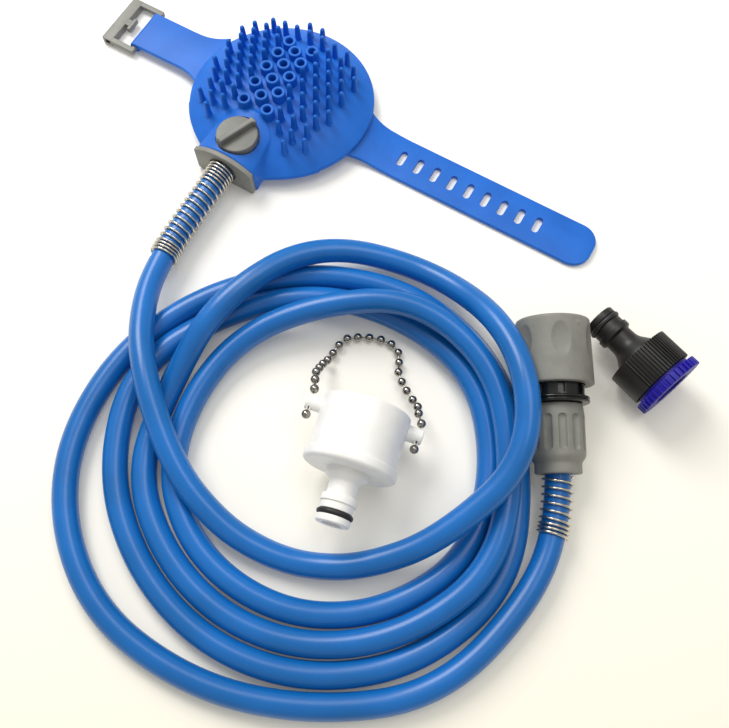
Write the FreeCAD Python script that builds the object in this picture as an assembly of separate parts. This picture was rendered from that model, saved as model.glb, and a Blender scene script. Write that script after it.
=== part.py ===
import FreeCAD, Part
import math
import os
from FreeCAD import Vector

# A handheld bath sprayer for washing a pet: a silicone palm pad with nozzles and pins, its coiled
# hose with a quick connector, and two loose adapters for a tap. Sizes are millimetres. The origin is
# on the table under the handset, +Z is up, +Y runs from the hose inlet to the pad's far edge and the
# straps lie along X.

# Pad of the handset
pad_radius = 49.2
pad_y = 4.2
crown_height = 23.0
dome_radius = 90.0
skin_wall = 2.2
skirt_wall = 2.2
skirt_foot = 1.0

# Nozzle tubes, three staggered columns
nozzle_outer = 3.7
nozzle_bore = 2.0
nozzle_height = 5.2
nozzle_pitch = 11.3
nozzle_column_gap = 7.2
nozzle_middle_y = 8.5
nozzle_counts = [5, 4, 5]
nozzle_sides = 10

# Pins, in staggered rows either side of the nozzles: row's y and first pin's x, then pins on each side
pin_pitch = 7.9
pin_rows = [
    (47.0, 4.0), (40.4, 8.0), (33.8, 15.9), (27.2, 12.0), (20.6, 15.9), (14.0, 12.0),
    (7.4, 15.9), (0.8, 12.0), (-5.8, 15.9), (-12.4, 14.4), (-19.0, 17.0), (-25.6, 24.0),
]
pin_counts = [1, 3, 3, 4, 3, 4, 3, 4, 3, 3, 3, 1]
pin_middle_rows = [1]
pin_length = 10.5
pin_foot = 1.75
pin_tip = 1.3
pin_lean = 0.05
pin_sides = 5

# Neck of the handset, from the inlet plate to the pad
neck_end_y = -46.5
neck_front_y = -8.0
neck_half_width = 17.0
neck_front_half_width = 13.0
neck_height = 21.5
neck_corner_height = 15.5
neck_front_height = 22.2
neck_front_corner_height = 18.0
neck_foot = 0.6

# Chamber inside the pad, under a flat and a cone that follow the dome
crown_flat_radius = 14.0
fit_gap = 0.15
chamber_radius = pad_radius - 12.0
chamber_wall = 1.8
base_floor = 2.2
seam_height = 6.0
gasket_thickness = 0.8
palm_face_radius = 30.0
screw_circle = chamber_radius - 11.0
screw_angles = [20.0, 70.0, 110.0, 160.0]
screw_head = 2.8
screw_head_height = 2.0
screw_shank = 1.25
screw_length = 13.0

# Valve, knob and spool
valve_y = -33.0
valve_half_width = 10.5
valve_rear_y = -20.6
valve_floor = 2.4
valve_top = 18.2
spool_radius = 6.0
spool_running_gap = 0.05
spool_foot = 3.4
flow_bore = 3.2
flow_height = 11.0
seal_section = 1.2
knob_radius = 11.6
knob_seat_gap = 0.3
knob_disc = 4.2
knob_bar_width = 3.6
knob_bar_height = 3.6
knob_shown_angle = -22.0
pocket_gap = 0.8

# Inlet plate and barb
plate_thickness = 3.0
plate_overhang = 0.6
plate_foot = 0.3
spring_seat_depth = 1.1
barb_radius = 4.1
barb_root = 3.6
barb_bore = 2.7
barb_length = 15.0
barb_ridges = 2
barb_flange = 6.4
barb_flange_thickness = 1.6

# Straps and buckle
strap_y = 9.0
strap_width = 25.0
strap_thickness = 2.3
strap_rise = 5.6
strap_lift = 0.15
strap_flare = 4.0
long_strap_end = 190.0
strap_tip_radius = 10.0
long_strap_flat = 78.0
slot_first_x = 76.5
slot_pitch = 10.2
slot_count = 9
slot_width = 3.8
slot_length = 9.6
short_strap_flat = 74.0
bar_x = -92.0
bar_radius = 1.5
bar_gap = 0.2
loop_wall = 1.4
buckle_end_x = -112.0
buckle_rail = 3.2
buckle_side_gap = 0.7
buckle_end_bar = 6.5
buckle_thickness = 3.0
prong_neck = 4.4
prong_neck_length = 2.2
prong_head = 8.6
prong_head_length = 2.0

# Hose: outer size, bored ends and the sides of its section
hose_diameter = 12.0
hose_bore = 4.25
hose_bore_depth = 16.0
hose_sides = 8
coil_centre = (125.0, -164.0)
coil_step = 30.0
coil_first_bearing = 180.0

# Loops of the hose on the table, as radius from the coil's centre and height of the hose's axis at
# every coil_step of bearing, one row for each loop from its first bearing round again
coil_loops = [
    [(94.0, 24.6), (63.9, 18.9), (49.5, 12.3), (43.5, 6.4), (44.1, 6.0), (51.1, 10.8),
     (67.2, 19.8), (98.5, 33.5), (110.4, 38.1), (121.5, 4.6), (117.2, 14.8), (93.1, 24.9)],
    [(82.4, 6.2), (83.0, 6.2), (77.6, 6.8), (77.0, 6.1), (79.6, 7.2), (85.0, 10.0),
     (93.8, 16.1), (92.5, 17.4), (98.7, 20.5), (95.9, 21.1), (80.8, 16.9), (76.7, 8.8)],
    [(70.0, 6.5), (68.0, 6.1), (64.7, 6.4), (63.4, 6.2), (66.4, 6.3), (72.3, 6.2),
     (82.0, 6.8), (85.1, 6.9), (90.9, 10.4), (90.4, 5.6), (91.6, 7.4), (93.7, 6.5)],
    [(102.4, 8.3), (96.4, 6.2), (90.6, 6.3), (90.2, 6.2), (92.6, 6.3), (97.8, 6.2),
     (103.0, 6.3), (97.9, 6.1), (103.7, 6.3), (104.8, 6.5), (104.4, 6.1), (107.6, 6.3)],
    [(115.0, 6.2), (120.8, 6.4), (117.8, 6.6), (107.8, 6.2), (104.9, 6.4), (113.6, 6.2), (114.3, 8.0)],
]

# Hose between the handset and the coil, after the exit, chosen by hand
head_run = [(0.2, -78.0, 10.8), (0.9, -105.0, 10.6), (9.0, -133.5, 15.7)]
# Last point of the route before the connector, as a distance behind its tail
tail_lead = 18.0

# Guard springs of the hose
wire_side = 1.25
spring_hose_gap = 0.35
close_pitch = 1.95
head_spring = [(5.0, close_pitch), (11.0, 3.75), (4.0, close_pitch)]
tail_spring = [(6.0, 3.6), (3.0, close_pitch)]
quarter_steps = 4

# Quick connector, measured along its axis from the nut's tail
tail_position = (224.9, -109.3)
connector_bearing = 120.0
nut_tail_radius = 10.9
nut_radius = 13.0
nut_crown_radius = 12.4
nut_cone_start = 4.9
nut_cone_end = 7.9
nut_length = 32.3
nut_bore = 6.35
nut_thread_bore = 10.6
nut_thread_start = 14.0
flute_count = 12
flute_radius = 2.3
flute_start = 10.6
flute_end = 27.0
thread_gap = 0.1
ring_radius = 16.0
ring_thickness = 3.2
ring_bore = 9.0
body_collar_radius = 13.6
body_collar_length = 6.5
body_socket_outer = 11.6
socket_bore = 8.5
socket_depth = 26.0
body_slot_width = 3.0
body_slot_count = 8
sleeve_radius = 18.3
sleeve_mouth_radius = 17.4
sleeve_wall = 2.0
sleeve_length = 31.5
sleeve_stroke = 5.2
sleeve_mouth = 12.2
dimple_count = 6
dimple_radius = 6.0
dimple_half_length = 11.5
dimple_depth = 1.5
dimple_from_rim = 19.5
return_wire = 1.0
return_turns = 2
claw_count = 3
claw_stroke = 1.0
claw_width = 5.0
claw_length = 4.0
claw_gap = 0.4
claw_groove = 0.5
socket_seal_radius = 7.6
socket_seal_thickness = 1.8

# Nipple shared by both adapters, the common click-on size
nipple_tip = 8.0
nipple_tip_length = 3.2
nipple_groove = 2.8
nipple_groove_radius = 6.4
nipple_shoulder = 7.6
nipple_shoulder_length = 3.4
nipple_collar = 8.4
nipple_collar_length = 3.0
nipple_waist = 6.8
nipple_bore = 4.6
nipple_length = 19.5
ring_seal_outer = 8.55

# Tap adapter, lying on its reducer ring and its nipple
tap_position = (252.8, -47.2)
tap_bearing = 159.5
tap_cone_length = 6.5
tap_collar_radius = 16.4
tap_collar_length = 16.0
tap_rib_depth = 0.9
tap_rib_count = 17
tap_rib_sector = 100.0
tap_thread_bore = 13.2
reducer_radius = 17.4
reducer_rim = 4.4
reducer_gap = 1.8
reducer_spigot = 9.0
reducer_bore = 9.6
reducer_teeth = 36
reducer_tooth_depth = 0.8
washer_thickness = 2.0

# Push-on faucet adapter, lying on its side
faucet_position = (137.0, -141.4)
faucet_bearing = -76.5
faucet_roll = 8.0
faucet_mouth_radius = 21.2
faucet_body_end_radius = 20.6
faucet_body_length = 26.0
faucet_wall = 2.2
faucet_flange_radius = 22.0
faucet_flange = 5.1
faucet_neck_radius = 10.0
faucet_neck_step = 2.7
faucet_neck_length = 5.3
grommet_bore = 9.0
grommet_length = 20.0
ear_from_mouth = 1.4
ear_radius = 3.9
ear_line = 26.1
ear_outer = 28.2
ear_slit = 1.6
ear_roof = 1.3

# Ball chain through the ears: beads either side of an ear, then the drape's beads, chosen by hand
bead_radius = 2.05
bead_sides = 6
chain_wire = 0.45
bead_from_ear = 6.35
chain_drape = [
    (105.7, -128.8, 22.4), (103.5, -124.4, 19.1), (102.7, -120.6, 14.5), (102.1, -116.7, 10.0),
    (102.1, -112.7, 5.6), (102.0, -107.4, 2.9), (102.4, -102.2, 3.2), (104.0, -96.9, 2.5),
    (108.2, -93.5, 2.2), (113.3, -90.8, 2.2), (118.9, -88.9, 2.3), (124.6, -88.4, 2.2),
    (129.8, -90.6, 2.2), (132.9, -95.4, 3.2), (135.3, -100.4, 4.7), (139.3, -104.3, 5.7),
    (143.7, -107.5, 7.0), (148.6, -110.5, 8.4), (152.7, -113.3, 11.5), (155.0, -117.1, 15.4),
]


def polygon_face(points):
    return Part.Face(Part.makePolygon(list(points) + [points[0]]))


def revolved(profile):
    """Solid of revolution about Z from corners given as radius and height."""
    return polygon_face([Vector(r, 0, z) for r, z in profile]).revolve(Vector(), Vector(0, 0, 1), 360)


def ring(outer, inner, low, high):
    return revolved([(inner, low), (outer, low), (outer, high), (inner, high)])


def faceted(profile, sides):
    """Many-sided counterpart of a solid of revolution, for small pieces that stay out of sight."""
    turn = 2 * math.pi / sides
    faces = []
    for (r0, z0), (r1, z1) in zip(profile, profile[1:] + profile[:1]):
        for i in range(sides):
            a, b = (i + 0.5) * turn, (i + 1.5) * turn
            corners = [Vector(r0 * math.cos(a), r0 * math.sin(a), z0)]
            if r0 > 0:
                corners.append(Vector(r0 * math.cos(b), r0 * math.sin(b), z0))
            if r1 > 0:
                corners.append(Vector(r1 * math.cos(b), r1 * math.sin(b), z1))
                corners.append(Vector(r1 * math.cos(a), r1 * math.sin(a), z1))
            else:
                corners.append(Vector(0, 0, z1))
            if r0 > 0 or r1 > 0:
                faces.append(polygon_face(corners))
    solid = Part.Solid(Part.makeShell(faces))
    if solid.Volume < 0:
        solid.reverse()
    return solid.removeSplitter() if profile[0][0] == 0 else solid


def disc(radius, low, high, x=0.0, y=0.0):
    return Part.makeCylinder(radius, high - low, Vector(x, y, low))


def regular(sides, radius, x=0.0, y=0.0, z=0.0):
    """Corners of a level regular polygon."""
    turn = 2 * math.pi / sides
    return [
        Vector(x + radius * math.cos((i + 0.5) * turn), y + radius * math.sin((i + 0.5) * turn), z)
        for i in range(sides)
    ]


def prism(points, height):
    return polygon_face(points).extrude(Vector(0, 0, height))


def box(x0, x1, y0, y1, z0, z1):
    return Part.makeBox(x1 - x0, y1 - y0, z1 - z0, Vector(x0, y0, z0))


def along(shape, origin, bearing, pitch=0.0):
    """Moves a shape built about Z so that its Z points at a bearing, pitched up, and its X to the right."""
    b, p = math.radians(bearing), math.radians(pitch)
    axis = Vector(math.cos(b) * math.cos(p), math.sin(b) * math.cos(p), math.sin(p))
    side = Vector(math.sin(b), -math.cos(b), 0)
    turned = FreeCAD.Rotation(side, axis.cross(side), axis, "ZXY")
    moved = shape.copy()
    moved.Placement = FreeCAD.Placement(origin, turned).multiply(moved.Placement)
    return moved


def arc_edge(start, through, end):
    return Part.Arc(start, through, end).toShape()


def line_edge(start, end):
    return Part.LineSegment(start, end).toShape()


# Surfaces of the pad

def dome_height(r, depth=0.0):
    """Height of the pad's dome at a radius, or of the surface that lies depth below it."""
    radius = dome_radius - depth
    return crown_height - dome_radius + math.sqrt(radius * radius - r * r)


def dome_arc(r0, r1, depth):
    """Arc of the dome's section between two radii."""
    mid = 0.5 * (r0 + r1)
    return arc_edge(*[Vector(r, 0, dome_height(r, depth)) for r in (r0, mid, r1)])


def dome_solid(radius, depth, low):
    """Everything under the dome, or under a surface depth below it, out to a radius."""
    edges = [
        dome_arc(0.0, radius, depth),
        line_edge(Vector(radius, 0, dome_height(radius, depth)), Vector(radius, 0, low)),
        line_edge(Vector(radius, 0, low), Vector(0, 0, low)),
        line_edge(Vector(0, 0, low), Vector(0, 0, dome_height(0.0, depth))),
    ]
    solid = Part.Face(Part.Wire(edges)).revolve(Vector(), Vector(0, 0, 1), 360)
    solid.translate(Vector(0, pad_y, 0))
    return solid


def hollow_solid(radius, depth, low):
    """Flat-topped cone that stays at least a depth below the dome, out to a radius."""
    top = dome_height(crown_flat_radius) - depth
    edge = dome_height(chamber_radius) - depth
    slope = (top - edge) / (chamber_radius - crown_flat_radius)
    solid = revolved([(0, low), (radius, low), (radius, top - slope * (radius - crown_flat_radius)),
                      (crown_flat_radius, top), (0, top)])
    solid.translate(Vector(0, pad_y, 0))
    return solid


def d_section(half_width, corner, top, foot, y):
    """D outline standing across the neck: level foot, upright sides and an arched top."""
    low_left, low_right = Vector(-half_width, y, foot), Vector(half_width, y, foot)
    left, right = Vector(-half_width, y, corner), Vector(half_width, y, corner)
    return Part.Wire([
        line_edge(low_left, low_right), line_edge(low_right, right),
        arc_edge(right, Vector(0, y, top), left), line_edge(left, low_left),
    ])


def surface_height(x, y):
    """Height of the handset's top at a point: the dome, or the neck where that stands higher."""
    dome = dome_height(min(math.hypot(x, y - pad_y), pad_radius))
    if y < neck_front_y and abs(x) < neck_front_half_width:
        return max(dome, neck_front_height - 1.0)
    return dome


def nozzle_places():
    places = []
    for column, count in enumerate(nozzle_counts):
        x = (column - (len(nozzle_counts) - 1) / 2) * nozzle_column_gap
        for i in range(count):
            places.append((x, nozzle_middle_y + (i - (count - 1) / 2) * nozzle_pitch))
    return places


def loft_through(sections):
    """Ruled solid through polygons given as lists of corners."""
    return Part.makeLoft([Part.makePolygon(corners + corners[:1]) for corners in sections], True, True)


def nozzle_tube(x, y):
    """Tube that stands on the pad."""
    top = surface_height(x, y) + nozzle_height
    foot = surface_height(x, y) - 1.2
    return prism(regular(nozzle_sides, nozzle_outer, x, y, foot), top - foot)


def nozzle_bore_cutter(x, y, low):
    return prism(regular(6, nozzle_bore, x, y, low), crown_height + nozzle_height + 5 - low)


def pin(x, y):
    """Tapered pin that leans outward with the dome."""
    base = Vector(x, y, surface_height(x, y) - 0.9)
    lean = Vector(pin_lean * x / dome_radius, pin_lean * (y - pad_y) / dome_radius, 1).normalize()
    tip = base + lean * (pin_length + 0.9)
    return loft_through([regular(pin_sides, pin_foot, base.x, base.y, base.z),
                         regular(pin_sides, pin_tip, tip.x, tip.y, tip.z)])


def pin_places():
    places = []
    for row, (y, first) in enumerate(pin_rows):
        xs = [first + i * pin_pitch for i in range(pin_counts[row])]
        places += [(x, y) for x in xs] + [(-x, y) for x in xs]
        if row in pin_middle_rows:
            places.append((0.0, y))
    return places


def valve_envelope(grow):
    """Block that the valve body fills, grown on every side."""
    return box(-valve_half_width - grow, valve_half_width + grow, neck_end_y - 1.0,
               valve_rear_y + grow, valve_floor - grow, valve_top + grow)


def make_cover():
    shell = dome_solid(pad_radius, 0.0, skirt_foot)
    skirt_outer = chamber_radius + fit_gap + skirt_wall
    under_flange = dome_solid(pad_radius + 1, skin_wall, -1.0).cut(
        disc(skirt_outer, -2.0, crown_height, 0, pad_y))
    inside = hollow_solid(chamber_radius + fit_gap, skin_wall, -1.0)
    shell = shell.cut(under_flange).cut(inside)
    neck = Part.makeLoft([
        d_section(neck_half_width, neck_corner_height, neck_height, neck_foot, neck_end_y),
        d_section(neck_front_half_width, neck_front_corner_height, neck_front_height, neck_foot,
                  neck_front_y),
    ], True, True)
    neck = neck.cut(inside)
    cover = shell.fuse(neck)
    cover = cover.cut(box(-valve_half_width - fit_gap, valve_half_width + fit_gap, neck_end_y - 1.0,
                          valve_rear_y + fit_gap, -1.0, valve_top + fit_gap))
    cover = cover.cut(disc(knob_radius + pocket_gap, valve_top - 1.0, crown_height + 10, 0, valve_y))
    tubes = [nozzle_tube(x, y) for x, y in nozzle_places()]
    pins = [pin(x, y) for x, y in pin_places()]
    cover = cover.multiFuse(tubes + pins)
    bores = [nozzle_bore_cutter(x, y, dome_height(chamber_radius) - 2) for x, y in nozzle_places()]
    cover = cover.cut(Part.makeCompound(bores))
    return max(cover.Solids, key=lambda s: s.Volume)


def screw_places():
    return [(screw_circle * math.cos(math.radians(a)), pad_y + screw_circle * math.sin(math.radians(a)))
            for a in screw_angles]


def make_chamber_base():
    """Lower half of the water chamber, whose flat face rests in the palm."""
    rim = seam_height - gasket_thickness / 2
    base = revolved([
        (0, 0), (palm_face_radius, 0), (chamber_radius, 3.0), (chamber_radius, rim),
        (chamber_radius - chamber_wall, rim), (chamber_radius - chamber_wall, base_floor + 0.8),
        (palm_face_radius, base_floor), (0, base_floor),
    ])
    base.translate(Vector(0, pad_y, 0))
    tongue = box(-valve_half_width, valve_half_width, neck_end_y, valve_rear_y - 1.0, 0.0, base_floor)
    base = base.fuse(tongue)
    for x, y in screw_places():
        base = base.fuse(prism(regular(8, screw_head + 1.6, x, y, base_floor - 0.5), rim - base_floor + 0.3))
    for x, y in screw_places():
        base = base.cut(prism(regular(8, screw_head + 0.3, x, y, -1.0), screw_head_height + 1.4))
        base = base.cut(prism(regular(8, screw_shank + 0.35, x, y, -1.0), rim + 2.0))
    return base.cut(valve_envelope(fit_gap)).removeSplitter()


def make_chamber_top():
    """Upper half of the water chamber with its outlet holes and screw posts."""
    low = seam_height + gasket_thickness / 2
    depth = skin_wall + fit_gap
    top = hollow_solid(chamber_radius, depth, low)
    top = top.cut(hollow_solid(chamber_radius - chamber_wall, depth + chamber_wall, low - 1.0))
    inside = hollow_solid(chamber_radius, depth + 0.6, 0.0)
    for x, y in screw_places():
        post = prism(regular(8, screw_shank + 1.7, x, y, seam_height), crown_height - seam_height)
        top = top.fuse(post.common(inside))
    for x, y in screw_places():
        top = top.cut(prism(regular(8, screw_shank + 0.06, x, y, 0.0), screw_length + 0.6))
    top = top.cut(box(-valve_half_width - fit_gap, valve_half_width + fit_gap, neck_end_y,
                      valve_rear_y + fit_gap, 0.0, crown_height))
    bores = [nozzle_bore_cutter(x, y, low) for x, y in nozzle_places()]
    return top.cut(Part.makeCompound(bores)).removeSplitter()


def make_chamber_gasket():
    low, high = seam_height - gasket_thickness / 2, seam_height + gasket_thickness / 2
    gasket = ring(chamber_radius - 0.2, chamber_radius - chamber_wall, low, high)
    gasket.translate(Vector(0, pad_y, 0))
    return gasket.cut(valve_envelope(fit_gap))


def make_chamber_screws():
    screws = []
    for x, y in screw_places():
        head = prism(regular(8, screw_head, x, y, 0.4), screw_head_height)
        slot = box(x - 0.45, x + 0.45, y - screw_head, y + screw_head, 0.0, 1.1)
        shank = prism(regular(8, screw_shank, x, y, 0.4 + screw_head_height), screw_length - screw_head_height)
        screws.append(head.fuse(shank).cut(slot).removeSplitter())
    return Part.makeCompound(screws)


def make_valve_body():
    body = box(-valve_half_width, valve_half_width, neck_end_y, valve_rear_y, valve_floor, valve_top)
    spool_bore = spool_radius + spool_running_gap
    body = body.cut(disc(spool_bore, spool_foot - 0.2, valve_top + 1, 0, valve_y))
    flow = Part.makeCylinder(flow_bore, 60, Vector(0, neck_end_y - 5, flow_height), Vector(0, 1, 0))
    body = body.cut(flow)
    recess = Part.makeCylinder(barb_flange + 0.1, barb_flange_thickness + 0.1,
                               Vector(0, neck_end_y - 0.01, flow_height), Vector(0, 1, 0))
    return body.cut(recess)


def seal_groove():
    """Lower and upper edge of the spool's seal groove, above its cross bore."""
    middle = flow_height + flow_bore + 1.9
    return middle - seal_section / 2, middle + seal_section / 2


def make_flow_knob():
    """Disc with a grip bar across it, turned to the shown setting, on the spool's square tang."""
    low = valve_top + knob_seat_gap
    knob = revolved([(0, low), (knob_radius, low), (knob_radius, low + knob_disc - 0.7),
                     (knob_radius - 0.7, low + knob_disc), (0, low + knob_disc)])
    reach = knob_radius - 0.4
    outline = [Vector(-knob_bar_width / 2, -reach, 0), Vector(knob_bar_width / 2, -reach, 0),
               Vector(knob_bar_width / 2, reach - 1.6, 0), Vector(knob_bar_width / 2 + 1.4, reach, 0),
               Vector(-knob_bar_width / 2 - 0.6, reach, 0), Vector(-knob_bar_width / 2, reach - 1.6, 0)]
    bar = prism(outline, knob_bar_height + 1.0)
    bar.translate(Vector(0, 0, low + knob_disc - 1.0))
    knob = knob.fuse(bar.common(disc(knob_radius - 0.3, 0, 60))).removeSplitter()
    knob = knob.cut(box(-2.55, 2.55, -2.55, 2.55, low - 1, low + 2.55))
    knob.rotate(Vector(), Vector(0, 0, 1), knob_shown_angle)
    knob.translate(Vector(0, valve_y, 0))
    return knob


def make_valve_spool():
    """Plug with a cross bore, a seal groove and a square tang up into the knob."""
    low, high = seal_groove()
    spool = revolved([
        (0, spool_foot), (spool_radius, spool_foot), (spool_radius, low), (spool_radius - seal_section, low),
        (spool_radius - seal_section, high), (spool_radius, high), (spool_radius, valve_top), (0, valve_top),
    ])
    spool = spool.fuse(box(-2.5, 2.5, -2.5, 2.5, valve_top - 1, valve_top + knob_seat_gap + 2.5))
    spool = spool.cut(Part.makeCylinder(flow_bore, 40, Vector(0, -20, flow_height), Vector(0, 1, 0)))
    spool.rotate(Vector(), Vector(0, 0, 1), knob_shown_angle)
    spool.translate(Vector(0, valve_y, 0))
    return spool


def make_spool_seal():
    low, high = seal_groove()
    seal = ring(spool_radius + 0.02, spool_radius - seal_section + 0.1, low + 0.05, high - 0.05)
    seal.translate(Vector(0, valve_y, 0))
    return seal


def hose_exit():
    return Vector(0, neck_end_y - plate_thickness - 0.1, flow_height)


def make_inlet_plate():
    """Grey D-shaped plate that closes the neck, with a seat for the guard spring."""
    section = d_section(neck_half_width + plate_overhang, neck_corner_height + plate_overhang,
                        neck_height + plate_overhang, plate_foot, neck_end_y - 0.05)
    front = d_section(neck_half_width + plate_overhang - 0.9, neck_corner_height + plate_overhang - 0.9,
                      neck_height + plate_overhang - 0.9, plate_foot + 0.7, neck_end_y - plate_thickness)
    plate = Part.makeLoft([section, front], True, True)
    hole = Part.makeCylinder(barb_radius + 0.1, 20, Vector(0, neck_end_y - 10, flow_height), Vector(0, 1, 0))
    seat = Part.makeCylinder(spring_outer() + 0.3, 10,
                             Vector(0, neck_end_y - plate_thickness + spring_seat_depth - 10, flow_height),
                             Vector(0, 1, 0))
    land = Part.makeCylinder(hose_diameter / 2 + 0.05, 12, Vector(0, neck_end_y - 12, flow_height),
                             Vector(0, 1, 0))
    return plate.cut(hole).cut(seat.cut(land))


def barb_profile(reach):
    """Corners of a hose barb: ridges that lean back towards the flange at height 0."""
    step = reach / barb_ridges
    corners = [(barb_root, 0.0)]
    for i in range(barb_ridges):
        corners += [(barb_radius, i * step + 1.2), (barb_root, (i + 1) * step)]
    return corners


def make_inlet_barb():
    start = barb_flange_thickness + plate_thickness
    profile = [(barb_bore, 0), (barb_flange, 0), (barb_flange, barb_flange_thickness),
               (barb_root, barb_flange_thickness)]
    profile += [(r, start + z) for r, z in barb_profile(barb_length)]
    profile.append((barb_bore, start + barb_length))
    return along(faceted(profile, 16), Vector(0, neck_end_y + barb_flange_thickness, flow_height), -90)


# Straps and buckle

def strap_side(flat_x, end_x, looped):
    """Side view of a strap: an arc that falls from the pad's rim, then flat, to a plain or looped end."""
    low = bar_height() + loop_outer() - strap_thickness if looped else strap_lift
    start_x = pad_radius - 4.0
    run, rise = flat_x - start_x, strap_rise + strap_lift - low
    radius = (run * run + rise * rise) / (2 * rise)

    def fall(x, offset):
        r = radius - offset
        return low + offset + r - math.sqrt(r * r - (flat_x - x) ** 2)

    def arc(offset):
        mid = 0.5 * (start_x + flat_x)
        return arc_edge(*[Vector(x, 0, fall(x, offset)) for x in (start_x, mid, flat_x)])

    t = strap_thickness
    bottom_x = end_x
    if looped:
        bottom_x = end_x - math.sqrt(loop_outer() ** 2 - (loop_outer() - t) ** 2)
        far = Vector(end_x + loop_outer(), 0, bar_height())
        end = arc_edge(Vector(bottom_x, 0, low), far, Vector(end_x, 0, low + t))
    else:
        end = line_edge(Vector(end_x, 0, low), Vector(end_x, 0, low + t))
    edges = [
        arc(0.0), line_edge(Vector(flat_x, 0, low), Vector(bottom_x, 0, low)), end,
        line_edge(Vector(end_x, 0, low + t), Vector(flat_x, 0, low + t)), arc(t),
        line_edge(Vector(start_x, 0, fall(start_x, t)), Vector(start_x, 0, fall(start_x, 0.0))),
    ]
    return Part.Face(Part.Wire(Part.__sortEdges__(edges)))


def strap_plan(end_x, tip_radius):
    """Plan of a strap: flared where it leaves the pad, straight, with rounded tip corners if asked."""
    half, wide = strap_width / 2, strap_width / 2 + strap_flare
    start, flare_end = pad_radius - 5.0, pad_radius + 14.0
    mid = pad_radius + 3.5
    t = tip_radius
    diagonal = t * (1 - math.sqrt(0.5))
    edges = []
    for side in (-1, 1):
        edges.append(arc_edge(Vector(start, side * (wide + 2.0), 0), Vector(mid, side * (half + 1.5), 0),
                              Vector(flare_end, side * half, 0)))
        edges.append(line_edge(Vector(flare_end, side * half, 0), Vector(end_x - t, side * half, 0)))
        if t > 0:
            edges.append(arc_edge(Vector(end_x - t, side * half, 0),
                                  Vector(end_x - diagonal, side * (half - diagonal), 0),
                                  Vector(end_x, side * (half - t), 0)))
    edges.append(line_edge(Vector(end_x, half - t, 0), Vector(end_x, t - half, 0)))
    edges.append(line_edge(Vector(start, -wide - 2.0, 0), Vector(start, wide + 2.0, 0)))
    plan = Part.Face(Part.Wire(Part.__sortEdges__(edges))).extrude(Vector(0, 0, crown_height))
    plan.translate(Vector(0, strap_y, -1))
    return plan


def strap_blank(flat_x, end_x, tip_radius):
    """Strap towards +X, rounded at its tip, or ending in a loop where the tip has no radius."""
    looped = tip_radius == 0
    slab = strap_side(flat_x, end_x, looped).extrude(Vector(0, 2 * strap_width, 0))
    slab.translate(Vector(0, strap_y - strap_width, 0))
    return slab.common(strap_plan(end_x + 2 * loop_outer() if looped else end_x, tip_radius))


def clear_of_pad(strap):
    return strap.cut(disc(pad_radius + 0.1, -5, 60, 0, pad_y))


def make_long_strap():
    strap = clear_of_pad(strap_blank(long_strap_flat, long_strap_end, strap_tip_radius))
    for i in range(slot_count):
        x = slot_first_x + i * slot_pitch
        half = slot_length / 2 - slot_width / 2
        slot = box(x - slot_width / 2, x + slot_width / 2, strap_y - half, strap_y + half, -2, 20)
        for end in (-half, half):
            slot = slot.fuse(prism(regular(8, slot_width / 2 / math.cos(math.pi / 8), x, strap_y + end, -2), 22))
        strap = strap.cut(slot)
    return strap.removeSplitter()


def loop_outer():
    return bar_radius + bar_gap + loop_wall


def bar_height():
    return strap_lift + loop_outer()


def make_short_strap():
    """Strap on the other side, ending in a loop round the buckle's bar."""
    strap = strap_blank(short_strap_flat, -bar_x, 0)
    strap.rotate(Vector(0, strap_y, 0), Vector(0, 0, 1), 180)
    bore = Part.makeCylinder(bar_radius + bar_gap, 2 * strap_width,
                             Vector(bar_x, strap_y - strap_width, bar_height()), Vector(0, 1, 0))
    return clear_of_pad(strap).cut(bore)


def make_buckle():
    """Rectangular frame on the strap's loop, its far bar carrying a T-shaped prong."""
    half = strap_width / 2 + buckle_side_gap
    low, high = bar_height() - buckle_thickness / 2, bar_height() + buckle_thickness / 2
    frame = box(buckle_end_x, buckle_end_x + buckle_end_bar, strap_y - half - buckle_rail,
                strap_y + half + buckle_rail, 0.3, high)
    for side in (-1, 1):
        y0 = strap_y + side * half
        y1 = strap_y + side * (half + buckle_rail)
        rail = box(buckle_end_x, bar_x, min(y0, y1), max(y0, y1), low, high)
        eye = Part.makeCylinder(buckle_thickness / 2, buckle_rail, Vector(bar_x, min(y0, y1), bar_height()),
                                Vector(0, 1, 0))
        frame = frame.fuse(rail).fuse(eye)
    bar = Part.makeCylinder(bar_radius, 2 * half + 2, Vector(bar_x, strap_y - half - 1, bar_height()),
                            Vector(0, 1, 0))
    inner = buckle_end_x + buckle_end_bar
    neck = box(inner - 1, inner + prong_neck_length, strap_y - prong_neck / 2, strap_y + prong_neck / 2,
               low, high)
    head_x = inner + prong_neck_length
    head = box(head_x, head_x + prong_head_length, strap_y - prong_head / 2, strap_y + prong_head / 2,
               low, high)
    return frame.fuse(bar).fuse(neck).fuse(head).removeSplitter()


# Hose

def connector_pitch():
    """Tilt at which the connector rests on its sleeve's lower rim and its nut's shoulder."""
    return math.degrees(math.atan((sleeve_radius - nut_radius) / (sleeve_start() - nut_cone_end)))


def tail_origin():
    pitch = math.radians(connector_pitch())
    height = nut_radius * math.cos(pitch) - nut_cone_end * math.sin(pitch) + 0.1
    return Vector(tail_position[0], tail_position[1], height)


def connector_axis():
    b, p = math.radians(connector_bearing), math.radians(connector_pitch())
    return Vector(math.cos(b) * math.cos(p), math.sin(b) * math.cos(p), math.sin(p))


def coil_points():
    """Points of the hose's loops, worked out from their radii and heights at each bearing."""
    points = []
    bearing = coil_first_bearing
    for loop in coil_loops:
        for radius, height in loop:
            b = math.radians(bearing)
            points.append(Vector(coil_centre[0] + radius * math.cos(b),
                                 coil_centre[1] + radius * math.sin(b), height))
            bearing += coil_step
    return points


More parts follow.
